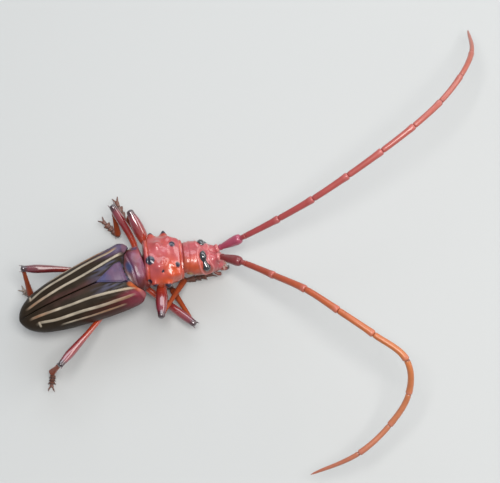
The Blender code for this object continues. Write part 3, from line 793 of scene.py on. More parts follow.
# %% Mould the belly
BELLY_HALF_WIDTH = ((-13.5, 0.3), (-13.3, 0.85), (-12.6, 1.38), (-11.0, 1.95), (-8.0, 2.4), (-5.2, 2.6))
BELLY_TOP = ((-13.5, 4.6), (-13.3, 4.8), (-11.0, 5.7), (-8.0, 6.45), (-5.2, 6.65))
BELLY_BOTTOM = ((-13.5, 3.95), (-13.3, 3.65), (-12.0, 3.05), (-9.0, 2.5), (-5.2, 2.3))
BELLY_WIDEST = 4.2
BELLY_REAR, BELLY_FRONT = -13.5, -5.2
PLATE = 1.62


def along_plate(p):
    """How far along its own plate a point lies, from 0 to 1."""
    return ((p.x - BELLY_REAR) / PLATE) % 1.0


def belly_relief(p):
    along = along_plate(p)
    return 0.12 * (1 - along) * ease(0.0, 0.06, along) + groove(p.z - 4.3, 0.1, 0.08)


bm = barrel(BELLY_REAR, BELLY_FRONT, 170, 90)
moulded(bm, body_form(BELLY_HALF_WIDTH, BELLY_TOP, BELLY_BOTTOM, BELLY_WIDEST), belly_relief)
# Painted highlight along each plate's rim.
painted(bm, "rim", lambda p: 1 - ease(0.0, 0.14, along_plate(p)))
BELLY_SHELL = shell("belly shell", (0.09, 0.016, 0.01), (
    ("rim", (0.2, 0.05, 0.025)),
), roughness=0.32, coat=0.4, relief=0.3, punctures=7500.0)
piece(bm, "belly_plates", BELLY_SHELL, ["abdomen"])

# %% [markdown]
# ## Pronotum
# The collar behind the head is one hard, glossy shell with pointed tubercles on its sides and low
# calluses on top, some of them black. The beetle bends its fore body to its right. So the collar and
# the head are each shaped straight, in a frame of their own, and then turned as the animal turns
# them, and each callus is a round bump at a named place.

# %% Frames of the fore body
def turned(base, turn):
    """The matrix of a frame at base; turn is its yaw, nod and roll in degrees."""
    yaw, nod, roll = (math.radians(angle) for angle in turn)
    return (
        Matrix.Translation(base) @ Matrix.Rotation(yaw, 4, "Z")
        @ Matrix.Rotation(nod, 4, "Y") @ Matrix.Rotation(roll, 4, "X")
    )


COLLAR_PLACE = turned((2.85, 0.6, 4.9), (-16.0, 11.0, -6.0))
HEAD_PLACE = turned((7.4, -0.65, 4.45), (-21.0, 18.0, -34.0))
print("the head's frame starts at", [round(v, 2) for v in HEAD_PLACE.translation], "mm")

# %% The collar's sizes and calluses
COLLAR_HALF_WIDTH = (
    (-0.1, 2.4), (0.0, 2.7), (0.12, 2.78), (0.6, 2.95), (1.6, 3.1), (3.2, 3.0), (4.3, 2.7),
    (4.75, 2.5), (4.85, 2.3),
)
COLLAR_TOP = (
    (-0.1, 1.8), (0.0, 2.08), (0.7, 2.3), (2.0, 2.45), (3.4, 2.25), (4.75, 1.78), (4.85, 1.6),
)
COLLAR_BOTTOM = ((-0.1, -1.6), (0.0, -1.9), (1.5, -2.3), (3.4, -2.1), (4.75, -1.62), (4.85, -1.4))
# where, reach, height, and whether both sides have it
CALLUSES = (
    ((0.95, 3.05, 0.75), 0.5, 0.68, True), ((2.7, 3.0, 0.55), 0.46, 0.8, True),
    ((1.55, 1.35, 2.3), 0.62, 0.36, True), ((3.55, 1.35, 1.9), 0.45, 0.24, True),
    ((3.1, 2.25, 1.35), 0.5, 0.36, True), ((4.05, -2.1, 1.3), 0.5, 0.3, False),
    ((4.05, 2.1, 1.3), 0.5, 0.2, False), ((0.52, -0.5, 2.25), 0.55, 0.28, False),
    ((2.2, -0.8, 2.4), 0.42, 0.22, False), ((2.2, 0.4, 2.4), 0.7, 0.1, False),
    ((1.6, 2.7, -0.6), 0.9, 0.15, True), ((2.3, 3.0, -0.3), 0.7, 0.15, True),
)
FORE_SOCKET, FORE_SOCKET_SIZE = (1.6, 0.95, -1.95), (0.77, 0.72, 0.77)
print("calluses:", sum(2 if both else 1 for *_, both in CALLUSES))


# %% [markdown]
# The collar's surface is a smooth form with the calluses added up on it. Two grooves follow its front
# and rear edges, and shorter ones part the calluses on top.

# %% Mould the collar
def collar_relief(p):
    lift = 0.0
    for at, reach, height, both in CALLUSES:
        lift += bump(mirrored(p) if both else p, at, reach, height)
    over = ease(-0.5, 0.5, p.z)
    lift += groove(p.x - 0.32, 0.12, 0.1) * over + groove(p.x - 4.5, 0.12, 0.1)
    lift += groove(p.x - 2.0 - 0.5 * (p.y - 1.2), 0.14, 0.12) * hill(p.y - 1.5, 0.5) * over
    lift += groove(p.x - 2.1, 0.2, 0.14) * hill(p.y + 2.05, 0.35) * over
    lift += 0.03 * noise.noise(p * 1.6)
    return lift


bm = barrel(-0.1, 4.85, 120, 190)
moulded(bm, body_form(COLLAR_HALF_WIDTH, COLLAR_TOP, COLLAR_BOTTOM, 0.1), collar_relief)
print("collar:", len(bm.faces), "faces")

# %% [markdown]
# The collar is bright red, with a painted rosy reflection of the sky where it faces up, and orange
# low on its sides and in its grooves. The tips of the side tubercles and some of the calluses are
# blue-black with a soft, uneven rim.

# %% Colour the collar
BLACK_SPOTS = (
    ((0.52, -0.55, 2.4), 0.6), ((3.51, 1.41, 2.1), 0.4), ((3.98, -1.31, 2.0), 0.36),
    ((0.35, -2.9, 0.9), 0.34), ((3.75, -2.65, -0.6), 0.3), ((3.75, 2.65, -0.6), 0.3),
    ((2.05, -2.05, 2.0), 0.2),
)


def blackness(p):
    """How black the collar is at a point."""
    wobble = 0.05 * noise.noise(p * 4)
    tips = ease(3.3, 3.42, abs(p.y) + wobble) * ease(0.0, 0.3, p.z)
    return max(tips, max(spot(p, at, radius + wobble, 0.18) for at, radius in BLACK_SPOTS))


painted(bm, "black_marks_and_cup_shade", blackness)
painted(bm, "orange", lambda p: max(
    spot((p.x, p.y), (3.3, -1.9), 1.1, 0.8) * ease(0.3, 1.0, p.z), ease(0.9, -0.4, p.z) * 0.95,
    spot(p, (2.5, -3.0, 0.3), 1.4, 0.6), 0.7 * ease(0.0, -0.09, collar_relief(p)) * ease(-0.5, 0.5, p.z)))
# Painted rosy reflection of the sky on the collar's upper side.
painted(bm, "rose_sky_reflection", lambda p: ease(0.8, 1.9, p.z) * (0.75 + 0.5 * noise.noise(p * 0.8)))
dome_pair(bm, FORE_SOCKET, FORE_SOCKET_SIZE)
bmesh.ops.transform(bm, matrix=COLLAR_PLACE, verts=bm.verts)
# The rosy colour is a painted sky reflection; orange and black are the shell's own.
RED_MARKS = (
    ("rose_sky_reflection", (0.37, 0.06, 0.068)), ("orange", (0.46, 0.055, 0.008)), ("black_marks_and_cup_shade", (0.006, 0.007, 0.022)),
)
COLLAR_SHELL = shell(
    "collar shell", (0.34, 0.035, 0.014), RED_MARKS, roughness=0.32, coat=0.7, relief=0.1,
    drift=0.45, punctures=3800.0)
piece(bm, "collar", COLLAR_SHELL, ["pronotum"])

# %% [markdown]
# ## Head
# The head capsule carries raised rings round the roots of the feelers, a furrow between them, a ridge
# behind the eye and a blunt muzzle. It is shaped as the collar is, in its own frame. The face parts,
# the plate over the mouth, jaws and palps, are separate hard pieces on the real animal too.

# %% The head's sizes
SKULL_HALF_WIDTH = (
    (-0.1, 1.9), (0.0, 2.1), (1.0, 2.35), (2.4, 2.3), (3.4, 2.05), (4.4, 1.6), (5.0, 1.3),
    (5.3, 1.0), (5.42, 0.5),
)
SKULL_TOP = (
    (-0.1, 1.5), (0.0, 1.65), (1.0, 1.95), (2.4, 1.85), (3.6, 1.3), (4.5, 0.7), (5.2, 0.3),
    (5.42, -0.1),
)
SKULL_BOTTOM = ((-0.1, -1.2), (0.0, -1.35), (1.5, -1.6), (3.5, -1.5), (5.0, -1.25), (5.42, -0.6))
FEELER_RING = (4.1, 0.8, 1.15)
# the left eye's arc, from its upper lobe to its lower one
EYE_ARC = (
    (2.45, 0.55, 1.68), (2.35, 0.75, 1.72), (2.28, 1.05, 1.66), (2.4, 1.55, 1.25),
    (2.65, 1.9, 0.8), (2.9, 2.05, 0.42), (3.1, 2.0, 0.1),
)
ORBIT = route_through(EYE_ARC, 14)
ORBIT_X = (1.2, 4.2)
ORBIT_RADIUS, ORBIT_WIDTH = 0.76, 0.12
print("the eye's arc has", len(ORBIT), "stops")


# %% [markdown]
# The relief gathers what a smooth skull lacks: raised rings where the feelers start, a rim that
# follows the eye, a furrow down the middle and a few fine creases.

# %% The head's relief
def orbit_ridge(p):
    """The raised rim round the eye, as a share of its height."""
    if not ORBIT_X[0] < p.x < ORBIT_X[1]:
        return 0.0
    away = min((mirrored(p) - stop).length for stop in ORBIT)
    return hill(away - ORBIT_RADIUS, ORBIT_WIDTH)


def skull_relief(p):
    left = mirrored(p)
    lift = bump(left, FEELER_RING, 0.72, 0.5) + 0.11 * orbit_ridge(p)
    lift += groove(p.y, 0.13, 0.14) * ease(1.6, 2.4, p.x) * ease(5.0, 4.3, p.x) * ease(-0.2, 0.4, p.z)
    lift += bump(left, (1.45, 0.8, 1.8), 0.45, 0.12) + bump(left, (2.9, 2.0, 0.0), 0.9, 0.06)
    lift += groove(p.x - 4.55, 0.1, 0.1) * ease(0.3, -0.1, abs(p.z - 0.2) - 0.8)
    lift += groove(p.x - 0.55, 0.15, 0.06) + groove(p.y, 0.2, 0.12) * ease(-1.0, -1.3, p.z)
    lift += 0.035 * noise.noise(p * 2.2)
    return lift


print("the rim round the eye rises", round(0.11 * orbit_ridge(Vector((1.54, 1.05, 1.66))), 3), "mm")

# %% [markdown]
# The root of each feeler sits in a cup with a swollen rim. The rim leans forward over the face, more
# than a relief can lift it, so each cup is a short tube swept out of the head.

# %% Mould the head
CUP_RADII = (
    0.5, 0.56, 0.6, 0.62, 0.63, 0.63, 0.62, 0.6, 0.57, 0.55, 0.55, 0.57, 0.6, 0.61, 0.58, 0.5, 0.36,
)
bm = barrel(-0.1, 5.42, 130, 150)
moulded(bm, body_form(SKULL_HALF_WIDTH, SKULL_TOP, SKULL_BOTTOM, 0.0), skull_relief)
for side in (-1, 1):
    cup_line = ((3.5, side * 0.72, 0.5), (4.0, side * 0.76, 0.85), (4.72, side * 0.8, 1.22))
    swept(bm, route_through(cup_line, len(CUP_RADII) - 1), CUP_RADII, sides=36)
print("head:", len(bm.faces), "faces")

# %% [markdown]
# The head is the collar's red, with the same painted rosy sky reflection on top and on the front,
# painted pale highlights on the ridges round the eyes and the feelers, a small blue mark behind the
# left eye, and painted black shade in the depth of the feelers' cups.

# %% Colour the head
CUP_RIM, CUP_MOUTH = Vector((4.6, 0.8, 1.15)), Vector((4.75, 0.8, 1.24))
# Painted pale highlight on the ridges round the eye and on the rims of the feelers' cups.
painted(bm, "ridge_highlight", lambda p: max(
    0.55 * orbit_ridge(p),
    0.7 * ease(4.35, 4.5, p.x + 0.35 * p.z - 0.3) * ease(0.75, 0.55, (mirrored(p) - CUP_RIM).length)))
painted(bm, "blue", lambda p: 0.9 * spot(p, (1.26, 1.68, 1.5), 0.3, 0.5))
# A real black spot, and painted black shade in the depth of each feeler's cup.
painted(bm, "black_marks_and_cup_shade", lambda p: max(
    0.6 * spot(p, (1.85, 1.5, 1.55), 0.18, 0.4),
    0.9 * ease(0.34, 0.22, (mirrored(p) - CUP_MOUTH).length)))
painted(bm, "orange", lambda p: 0.7 * spot(mirrored(p), (1.3, 2.0, 0.7), 1.2, 0.7))
# Painted rosy reflection of the sky on top of the head and on the lower front.
painted(bm, "rose_sky_reflection", lambda p: (
    ease(0.7, 1.5, p.z + 0.3 * p.x - 0.4) + 0.9 * ease(3.6, 4.4, p.x) * ease(-0.8, -0.2, p.z)))
painted(bm, "pale", lambda p: 0.6 * spot((p.x * 1.3, abs(p.y), p.z), (1.25, 2.0, -0.6), 0.45, 0.5))
bmesh.ops.transform(bm, matrix=HEAD_PLACE, verts=bm.verts)
HEAD_SHELL = shell("head shell", (0.2, 0.03, 0.012), RED_MARKS + (
    ("ridge_highlight", (0.6, 0.2, 0.19)), ("blue", (0.1, 0.09, 0.18)), ("pale", (0.42, 0.36, 0.13)),
), roughness=0.34, coat=0.7, relief=0.25, drift=0.6, punctures=5000.0)
piece(bm, "head_capsule", HEAD_SHELL, ["head"])

# %% [markdown]
# The compound eyes are kidney-shaped: each wraps round the root of a feeler, with a small lobe on
# top and a large one below. A tube swept along that arc gives the form, sunk halfway into the head,
# and the facets are a fine relief. The eye is the shiniest part of a beetle, so its coat is clear.

# %% Eyes
EYE_RADII = (0.2, 0.46, 0.52, 0.34, 0.42, 0.56, 0.3)
EYE_SHELL = shell(
    "eye facets", (0.004, 0.005, 0.008), (), roughness=0.14, coat=1.0, relief=0.12, drift=0.3,
    punctures=30000.0, gloss=0.03, coat_index=1.8)
for side, name in ((1, "left"), (-1, "right")):
    bm = bmesh.new()
    arc = route_through([(p[0], side * p[1], p[2]) for p in EYE_ARC], 40)
    lobes = tuple(enumerate(EYE_RADII))
    sizes = [size_at(lobes, 6 * k / 40) * 0.98 for k in range(41)]
    sizes[0] = sizes[-1] = 0.02
    swept(bm, arc, sizes, sides=40, lift=Vector((1, 0, 0)))
    bmesh.ops.transform(bm, matrix=HEAD_PLACE, verts=bm.verts)
    piece(bm, "compound_eye_" + name, EYE_SHELL, ["eye_" + name])

# %% [markdown]
# The jaws are short curved hooks, dark at the tips, and the palps are jointed feelers of the mouth.
# Each is a short sweep with a named thickness along it. The palps' thickness is read with straight
# lines, because it steps at each joint.

# %% The sizes of the mouth parts
JAW = ((4.7, 0.72, -0.45), (5.3, 0.85, -0.6), (5.85, 0.7, -0.72), (6.2, 0.25, -0.8))
JAW_RADII = ((0, 0.5), (0.4, 0.46), (0.75, 0.3), (0.93, 0.15), (1.0, 0.04))
PALP = ((4.2, 1.0, -1.15), (4.65, 1.15, -1.38), (4.95, 1.08, -1.55), (5.12, 0.85, -1.7))
PALP_RADII = (
    (0, 0.16), (0.12, 0.2), (0.3, 0.24), (0.34, 0.15), (0.4, 0.2), (0.6, 0.25), (0.64, 0.15), (0.7, 0.2),
    (0.9, 0.26), (0.98, 0.2), (1.0, 0.05),
)
JAW_SHELL = shell("jaw shell", (0.2, 0.035, 0.025), (
    ("tip", (0.02, 0.006, 0.005)),
), roughness=0.25, coat=0.7, relief=0.2)
PALP_SHELL = shell("palp shell", (0.16, 0.04, 0.025), (), roughness=0.4, coat=0.4, relief=0.2)

# %% Jaws and palps
for side, name in ((1, "left"), (-1, "right")):
    bm = bmesh.new()
    hook = route_through([(p[0], side * p[1], p[2]) for p in JAW], 24)
    swept(bm, hook, [straight_at(JAW_RADII, s) for s in shares_of(24)], sides=24, flat=0.8)
    painted(bm, "tip", lambda p: ease(5.5, 6.1, p.x))
    bmesh.ops.transform(bm, matrix=HEAD_PLACE, verts=bm.verts)
    piece(bm, "jaw_" + name, JAW_SHELL, ["mandible_" + name])
    bm = bmesh.new()
    palp = route_through([(p[0], side * p[1], p[2]) for p in PALP], 50)
    swept(bm, palp, [straight_at(PALP_RADII, s) for s in shares_of(50)], sides=20)
    bmesh.ops.transform(bm, matrix=HEAD_PLACE, verts=bm.verts)
    piece(bm, "mouth_palp_" + name, PALP_SHELL, ["palp_" + name])

# %% [markdown]
# Over the mouth a smooth plate and a bristly lip finish the muzzle. Both are rounded blocks: a cube
# with bevelled edges, bent over the front of the head by its placing matrix.

# %% Lip and face plate
def rounded_block(bm, place, size, corner):
    """A block of the given size with its edges rounded off, laid by a matrix."""
    made = bmesh.ops.create_cube(bm, size=1, matrix=Matrix.Diagonal((*size, 1)))["verts"]
    edges = list(dict.fromkeys(e for v in made for e in v.link_edges))
    out = bmesh.ops.bevel(
        bm, geom=edges, offset=corner, segments=4, profile=0.5, affect="EDGES", material=-1)
    verts = list(dict.fromkeys(v for face in out["faces"] for v in face.verts))
    bmesh.ops.transform(bm, matrix=place, verts=verts)


bm = bmesh.new()
lip = Matrix.Translation((5.45, 0, -0.28)) @ Matrix.Rotation(math.radians(48), 4, "Y")
rounded_block(bm, lip, (0.62, 1.5, 0.36), 0.16)
plate = Matrix.Translation((5.05, 0, 0.12)) @ Matrix.Rotation(math.radians(33), 4, "Y")
rounded_block(bm, plate, (0.75, 1.75, 0.4), 0.18)
bmesh.ops.transform(bm, matrix=HEAD_PLACE, verts=bm.verts)
FACE_SHELL = shell("face shell", (0.4, 0.1, 0.08), (), roughness=0.36, coat=0.7, relief=0.3)
piece(bm, "lip_and_face_plate", FACE_SHELL, [])

# %% [markdown]
# Fine pale bristles fringe the lip and the jaws. Each is a thorn of a few faces, placed by a seeded
# dice so that every run gives the same fringe.

# %% Bristles
BRISTLES = 110


def thorn(bm, root, tip, thickness):
    """A four-sided spike, for spines and for bristles by the hundred."""
    swept(bm, [root, root.lerp(tip, 0.5), tip], [thickness, thickness * 0.7, 0.008], sides=4)


bm = bmesh.new()
dice = random.Random("muzzle")
for k in range(BRISTLES):
    angle = math.radians(dice.uniform(-78, 78))
    root = Vector((5.0 + 0.5 * math.cos(angle), 1.15 * math.sin(angle), dice.uniform(-0.75, -0.05)))
    out = Vector((math.cos(angle), 0.8 * math.sin(angle), dice.uniform(-0.5, 0.15)))
    thorn(bm, root, root + out * dice.uniform(0.3, 0.6), 0.028)
bmesh.ops.transform(bm, matrix=HEAD_PLACE, verts=bm.verts)
BRISTLE = shell("bristle", (0.55, 0.47, 0.4), (), roughness=0.5, coat=0.0, relief=0.1)
piece(bm, "muzzle_bristles", BRISTLE, [])

# %% [markdown]
# ## Feelers
# A longhorn's feeler has eleven joints: a thick first one, a tiny bead, and nine long ones that each
# swell towards the far end. The joints are real seams, so each is its own closed tube that starts
# inside the end of the one before. The left feeler sweeps forward, and the right one curls round in
# front of the beetle, so each joint has a heading on the floor's plane and a climb above it.

# %% The feelers' sizes and pose
FEELER_ROOT = (4.75, 0.8, 1.25)
JOINT_LENGTHS = (3.6, 0.75, 5.0, 5.15, 5.3, 5.2, 4.95, 4.55, 4.75, 5.05, 7.0)
JOINT_THIN = (0.4, 0.32, 0.38, 0.4, 0.4, 0.4, 0.39, 0.38, 0.36, 0.34, 0.31)
JOINT_THICK = (0.66, 0.39, 0.49, 0.49, 0.48, 0.47, 0.45, 0.43, 0.41, 0.38, 0.1)
HEADINGS = {
    "left": (-8, -5, -1, 2, 7, 10, 14, 21, 33, 47, 71),
    "right": (-46, -46, -52, -52, -59, -58, -61, -110, -147, -162, 178),
}
CLIMBS = {
    "left": (32, 29, 21, 20, 16, 13, 6, -4, -19, -34, -47),
    "right": (34, 12, 31, 26, 18, 2, -7, -36, -26, -13, -22),
}


JOINTS, FIRST, BEAD, LAST = len(JOINT_LENGTHS), 0, 1, len(JOINT_LENGTHS) - 1


def feeler_knots(name):
    """The points where a feeler's joints meet, from its root to its tip."""
    side = 1 if name == "left" else -1
    knots = [HEAD_PLACE @ Vector((FEELER_ROOT[0], side * FEELER_ROOT[1], FEELER_ROOT[2]))]
    for length, heading, climb in zip(JOINT_LENGTHS, HEADINGS[name], CLIMBS[name]):
        h, c = math.radians(heading), math.radians(climb)
        ahead = Vector((math.cos(c) * math.cos(h), math.cos(c) * math.sin(h), math.sin(c)))
        knots.append(knots[-1] + length * ahead)
    return knots


print("a feeler is", round(sum(JOINT_LENGTHS), 1), "mm long")

# %% [markdown]
# Each joint's thickness is read along it: a short neck, a slow swelling and a rounded end. A straight
# joint would meet its neighbour with a corner, so the middle line bends a little near both ends, as
# the animal's feeler does where it curls.

# %% One joint's thickness and middle line
def joint_profile(k):
    """Pairs of the share along the joint and the radius there."""
    thin, thick = JOINT_THIN[k], JOINT_THICK[k]
    if k == FIRST:
        return (
            (-0.06, 0.22), (0.0, 0.26), (0.03, 0.38), (0.08, 0.42), (0.13, 0.36), (0.3, 0.46),
            (0.55, 0.6), (0.8, 0.67), (0.92, 0.62), (0.98, 0.46), (1.0, 0.28),
        )
    if k == LAST:
        return (
            (-0.02, 0.2), (0.004, thin * 0.75), (0.03, thin), (0.4, 0.27), (0.75, 0.21),
            (0.93, 0.13), (1.0, 0.03),
        )
    return (
        (-0.02, thin * 0.6), (0.004, thin * 0.76), (0.022, thin * 0.94), (0.06, thin),
        (0.5, thin * 0.8 + thick * 0.2), (0.8, (thin + thick) / 2), (0.93, thick), (0.97, thick),
        (0.99, thick * 0.9), (1.0, thick * 0.68),
    )


def joint_route(knots, k, shares):
    """One joint's middle line, bent so that it leaves and enters its neighbours without a corner."""
    near, far = knots[k], knots[k + 1]
    length = (far - near).length
    ahead = (far - near) / length
    before = ahead if k <= BEAD else (near - knots[k - 1]).normalized()
    after = ahead if k in (FIRST, LAST) else (knots[k + 2] - far).normalized()
    start = (ahead + before).normalized() * length
    end = (ahead + after).normalized() * length
    points = []
    for t in shares:
        if t < 0:
            points.append(near + start * t)
            continue
        points.append(near * (2 * t ** 3 - 3 * t ** 2 + 1) + start * (t ** 3 - 2 * t ** 2 + t)
                      + far * (3 * t ** 2 - 2 * t ** 3) + end * (t ** 3 - t ** 2))
    return points


print("the first joint is", 2 * max(radius for _, radius in joint_profile(FIRST)), "mm thick")

# %% [markdown]
# The feeler's own numbers say how far along it a point lies, where a joint starts dark and where it
# ends pale, a band that is partly the joint's own colour and partly a painted highlight. The joints'
# rings stand closer together near both ends, where the thickness changes.

# %% Sweep a feeler
def feeler(name):
    knots = feeler_knots(name)
    bm = bmesh.new()
    along = bm.verts.layers.float.new("along")
    dark = bm.verts.layers.float.new("joint_dark")
    pale = bm.verts.layers.float.new("pale_end_and_highlight")
    for k in range(JOINTS):
        before = set(bm.verts)
        profile = joint_profile(k)
        near, far = knots[k], knots[k + 1]
        ahead = (far - near).normalized()
        steps = 40 if k != BEAD else 18
        first = profile[0][0]
        turns = [math.pi * s / steps for s in range(steps + 1)]
        shares = [first + (1 - first) * (1 - math.cos(turn)) / 2 for turn in turns]
        radii = [straight_at(profile, share) for share in shares]
        swept(bm, joint_route(knots, k, shares), radii, sides=22)
        for vert in set(bm.verts) - before:
            share = (vert.co - near).dot(ahead) / (far - near).length
            vert[along] = (k + share) / JOINTS
            vert[dark] = 0.7 * (1 - ease(0.0, 0.02, share)) if k > FIRST else 0.0
            # Pale end of each joint, partly its own colour and partly a painted highlight.
            vert[pale] = (
                0.4 * (1 - 0.06 * k) * ease(0.84, 0.95, share) if FIRST < k < LAST else 0.0)
    lengths = ("scape", "flagellum_base", "flagellum_middle", "flagellum_tip")
    nodes = ["antenna_%s_%s" % (name, part) for part in lengths]
    return piece(bm, "feeler_" + name, FEELER_SHELL[name], nodes)


# %% [markdown]
# The left feeler is wine red and turns paler outwards. The right one runs from dark red at the root
# to orange at the bend and a pinker tip. A colour ramp read by the number along the feeler gives
# that, and it takes the ground colour's place under the joints' marks.

# %% Colour the feelers
def ramp_shell(name, stops, roughness, coat, relief, punctures):
    """A shell whose colour runs along the piece by its painted number."""
    made = shell(name, stops[0][1], (
        ("pale_end_and_highlight", (0.5, 0.15, 0.14)), ("joint_dark", (0.05, 0.01, 0.012)),
    ), roughness, coat, relief, 0.4, punctures)
    tree = made.node_tree
    number = tree.nodes.new("ShaderNodeAttribute")
    number.attribute_name = "along"
    ramp = tree.nodes.new("ShaderNodeValToRGB")
    for element, (position, colour) in zip(ramp.color_ramp.elements, (stops[0], stops[-1])):
        element.position = position
        element.color = (*colour, 1)
    for position, colour in stops[1:-1]:
        ramp.color_ramp.elements.new(position).color = (*colour, 1)
    tree.links.new(number.outputs["Fac"], ramp.inputs["Fac"])
    lowest_mix = next(n for n in tree.nodes if n.type == "MIX")
    tree.links.new(ramp.outputs["Color"], lowest_mix.inputs[MIX_UNDER])
    return made


LEFT_COLOURS = (
    (0.0, (0.32, 0.05, 0.095)), (0.085, (0.32, 0.05, 0.095)), (0.13, (0.27, 0.03, 0.035)),
    (0.35, (0.33, 0.05, 0.045)), (0.6, (0.38, 0.08, 0.06)), (1.0, (0.36, 0.1, 0.06)),
)
RIGHT_COLOURS = (
    (0.0, (0.16, 0.02, 0.02)), (0.09, (0.17, 0.022, 0.025)), (0.2, (0.29, 0.04, 0.02)),
    (0.4, (0.37, 0.075, 0.02)), (0.62, (0.44, 0.13, 0.03)), (0.78, (0.42, 0.14, 0.06)),
    (1.0, (0.38, 0.12, 0.07)),
)
FEELER_SHELL = {
    "left": ramp_shell("left feeler shell", LEFT_COLOURS, 0.4, 0.5, 0.3, 5000.0),
    "right": ramp_shell("right feeler shell", RIGHT_COLOURS, 0.4, 0.4, 0.3, 5000.0),
}
feeler("left")
feeler("right")

# %% [markdown]
# ## Legs
# Each leg has a club-shaped thigh, a slender shin with two spurs at its end, and a foot of lobed
# joints with pale pads and a pair of claws. Thigh, shin and foot meet at real joints, so they are
# separate pieces. All are sweeps from joint to joint, with a named thickness along each. One table
# holds the pose, so a leg is changed in one line.

# %% The legs' pose and sizes
# the thigh's route from hip to knee, the ankle, the tip of the foot on the floor, and the pair
LEGS = {
    "right_fore": (
        ((4.3, -1.0, 2.9), (3.5, -3.2, 3.7), (2.3, -6.7, 5.3)), (6.6, -2.5, 1.0), (10.1, -3.1), "fore"),
    "right_middle": (
        ((1.4, -1.3, 2.3), (2.6, -3.4, 2.15), (5.6, -8.6, 2.5)), (4.6, -3.0, 0.95), (3.0, 0.4), "middle"),
    "right_hind": (
        ((-3.9, -1.9, 2.5), (-5.1, -3.3, 3.0), (-11.5, -7.8, 7.1)), (-13.6, -6.9, 0.95), (-14.4, -8.5),
        "hind"),
    "left_fore": (
        ((4.1, 1.5, 2.9), (3.8, 4.0, 3.9), (3.6, 7.3, 5.5)), (2.3, 6.9, 0.95), (2.2, 10.9), "fore"),
    "left_middle": (
        ((1.8, 1.4, 2.3), (2.4, 4.2, 3.0), (1.8, 8.8, 5.6)), (0.8, 6.4, 0.95), (-0.4, 9.1), "middle"),
    "left_hind": (
        ((-3.8, 1.6, 2.5), (-6.0, 3.75, 3.15), (-11.5, 5.5, 7.1)), (-12.5, 3.6, 0.95), (-13.3, 4.8),
        "hind"),
}
THIGH_RADII = {
    "fore": ((0, 0.4), (0.2, 0.5), (0.4, 0.68), (0.6, 0.78), (0.8, 0.7), (0.92, 0.52), (1.0, 0.46)),
    "middle": ((0, 0.4), (0.2, 0.41), (0.5, 0.48), (0.75, 0.54), (0.9, 0.5), (1.0, 0.44)),
    "hind": ((0, 0.4), (0.2, 0.37), (0.45, 0.38), (0.68, 0.5), (0.82, 0.55), (0.93, 0.45), (1.0, 0.36)),
}
SHIN_RADII = (
    (0, 0.3), (0.06, 0.3), (0.13, 0.24), (0.3, 0.27), (0.6, 0.31), (0.88, 0.4), (0.96, 0.41),
    (1.0, 0.3),
)
UPRIGHT = Vector((0, 0, 1))
print("knees stand", [leg[0][-1][2] for leg in LEGS.values()], "mm above the floor")

# %% [markdown]
# A thigh ends in a rounded knee, which four closing rings give. The middle and hind ones carry two
# short spines there. The thighs are the glossiest part of the legs: orange at the hip, red along
# the club, wine and then nearly black at the knee.

# %% Thighs
KNEE_CAP = ((0.12, 0.93), (0.22, 0.72), (0.28, 0.45), (0.3, 0.1))


def thigh(name, leg):
    points, _, _, kind = leg
    route = route_through(points, 40)
    knee = route[-1]
    ahead = (knee - route[-2]).normalized()
    route = route + [knee + ahead * past for past, _ in KNEE_CAP]
    radii = [size_at(THIGH_RADII[kind], s) for s in shares_of(40)]
    radii += [radii[-1] * part for _, part in KNEE_CAP]
    bm = bmesh.new()
    swept(bm, route, radii, sides=40)
    if kind != "fore":
        side = ahead.cross(UPRIGHT).normalized()
        for way in (-1, 1):
            spine_root = knee + side * way * 0.28 - ahead * 0.1
            spine_tip = knee + side * way * 0.42 + ahead * 0.55
            thorn(bm, spine_root, spine_tip, 0.12)
    # The left hind thigh is painted darker all over, as painted shade.
    left_hind_shade = 0.5 if name == "left_hind" else 0.0
    painted(bm, "knee", lambda p: max(left_hind_shade, 1 - ease(0.3, 0.95, (p - knee).length)))
    reach = (knee - route[0]).length
    painted(bm, "orange", lambda p: (
        (1 - ease(0.3 * reach, 0.68 * reach, (p - route[0]).length)) * 0.8))
    painted(bm, "wine", lambda p: ease(2.5, 1.0, (p - knee).length) * 0.7)
    return piece(bm, "thigh_" + name, LEG_SHELL, ["leg_" + name + "_femur"])


LEG_SHELL = shell("leg shell", (0.2, 0.016, 0.018), (
    ("orange", (0.4, 0.045, 0.01)), ("wine", (0.16, 0.018, 0.035)), ("knee", (0.02, 0.006, 0.01)),
), roughness=0.26, coat=1.0, relief=0.06, drift=0.4, punctures=4500.0, gloss=0.08, coat_index=1.8)
for leg_name, leg in LEGS.items():
    thigh(leg_name, leg)

# %% [markdown]
# The shin hinges in the knee, bows a little and widens towards the foot. Two short spurs stand at its
# end, and fine bristles cover it. A bristle is only a four-sided thorn, because there are hundreds
# of them.

# %% Shins with spurs and bristles
SHIN_BRISTLES, SHIN_BOW = 70, 0.06
SPUR_TURNS = (-0.6, 0.7)


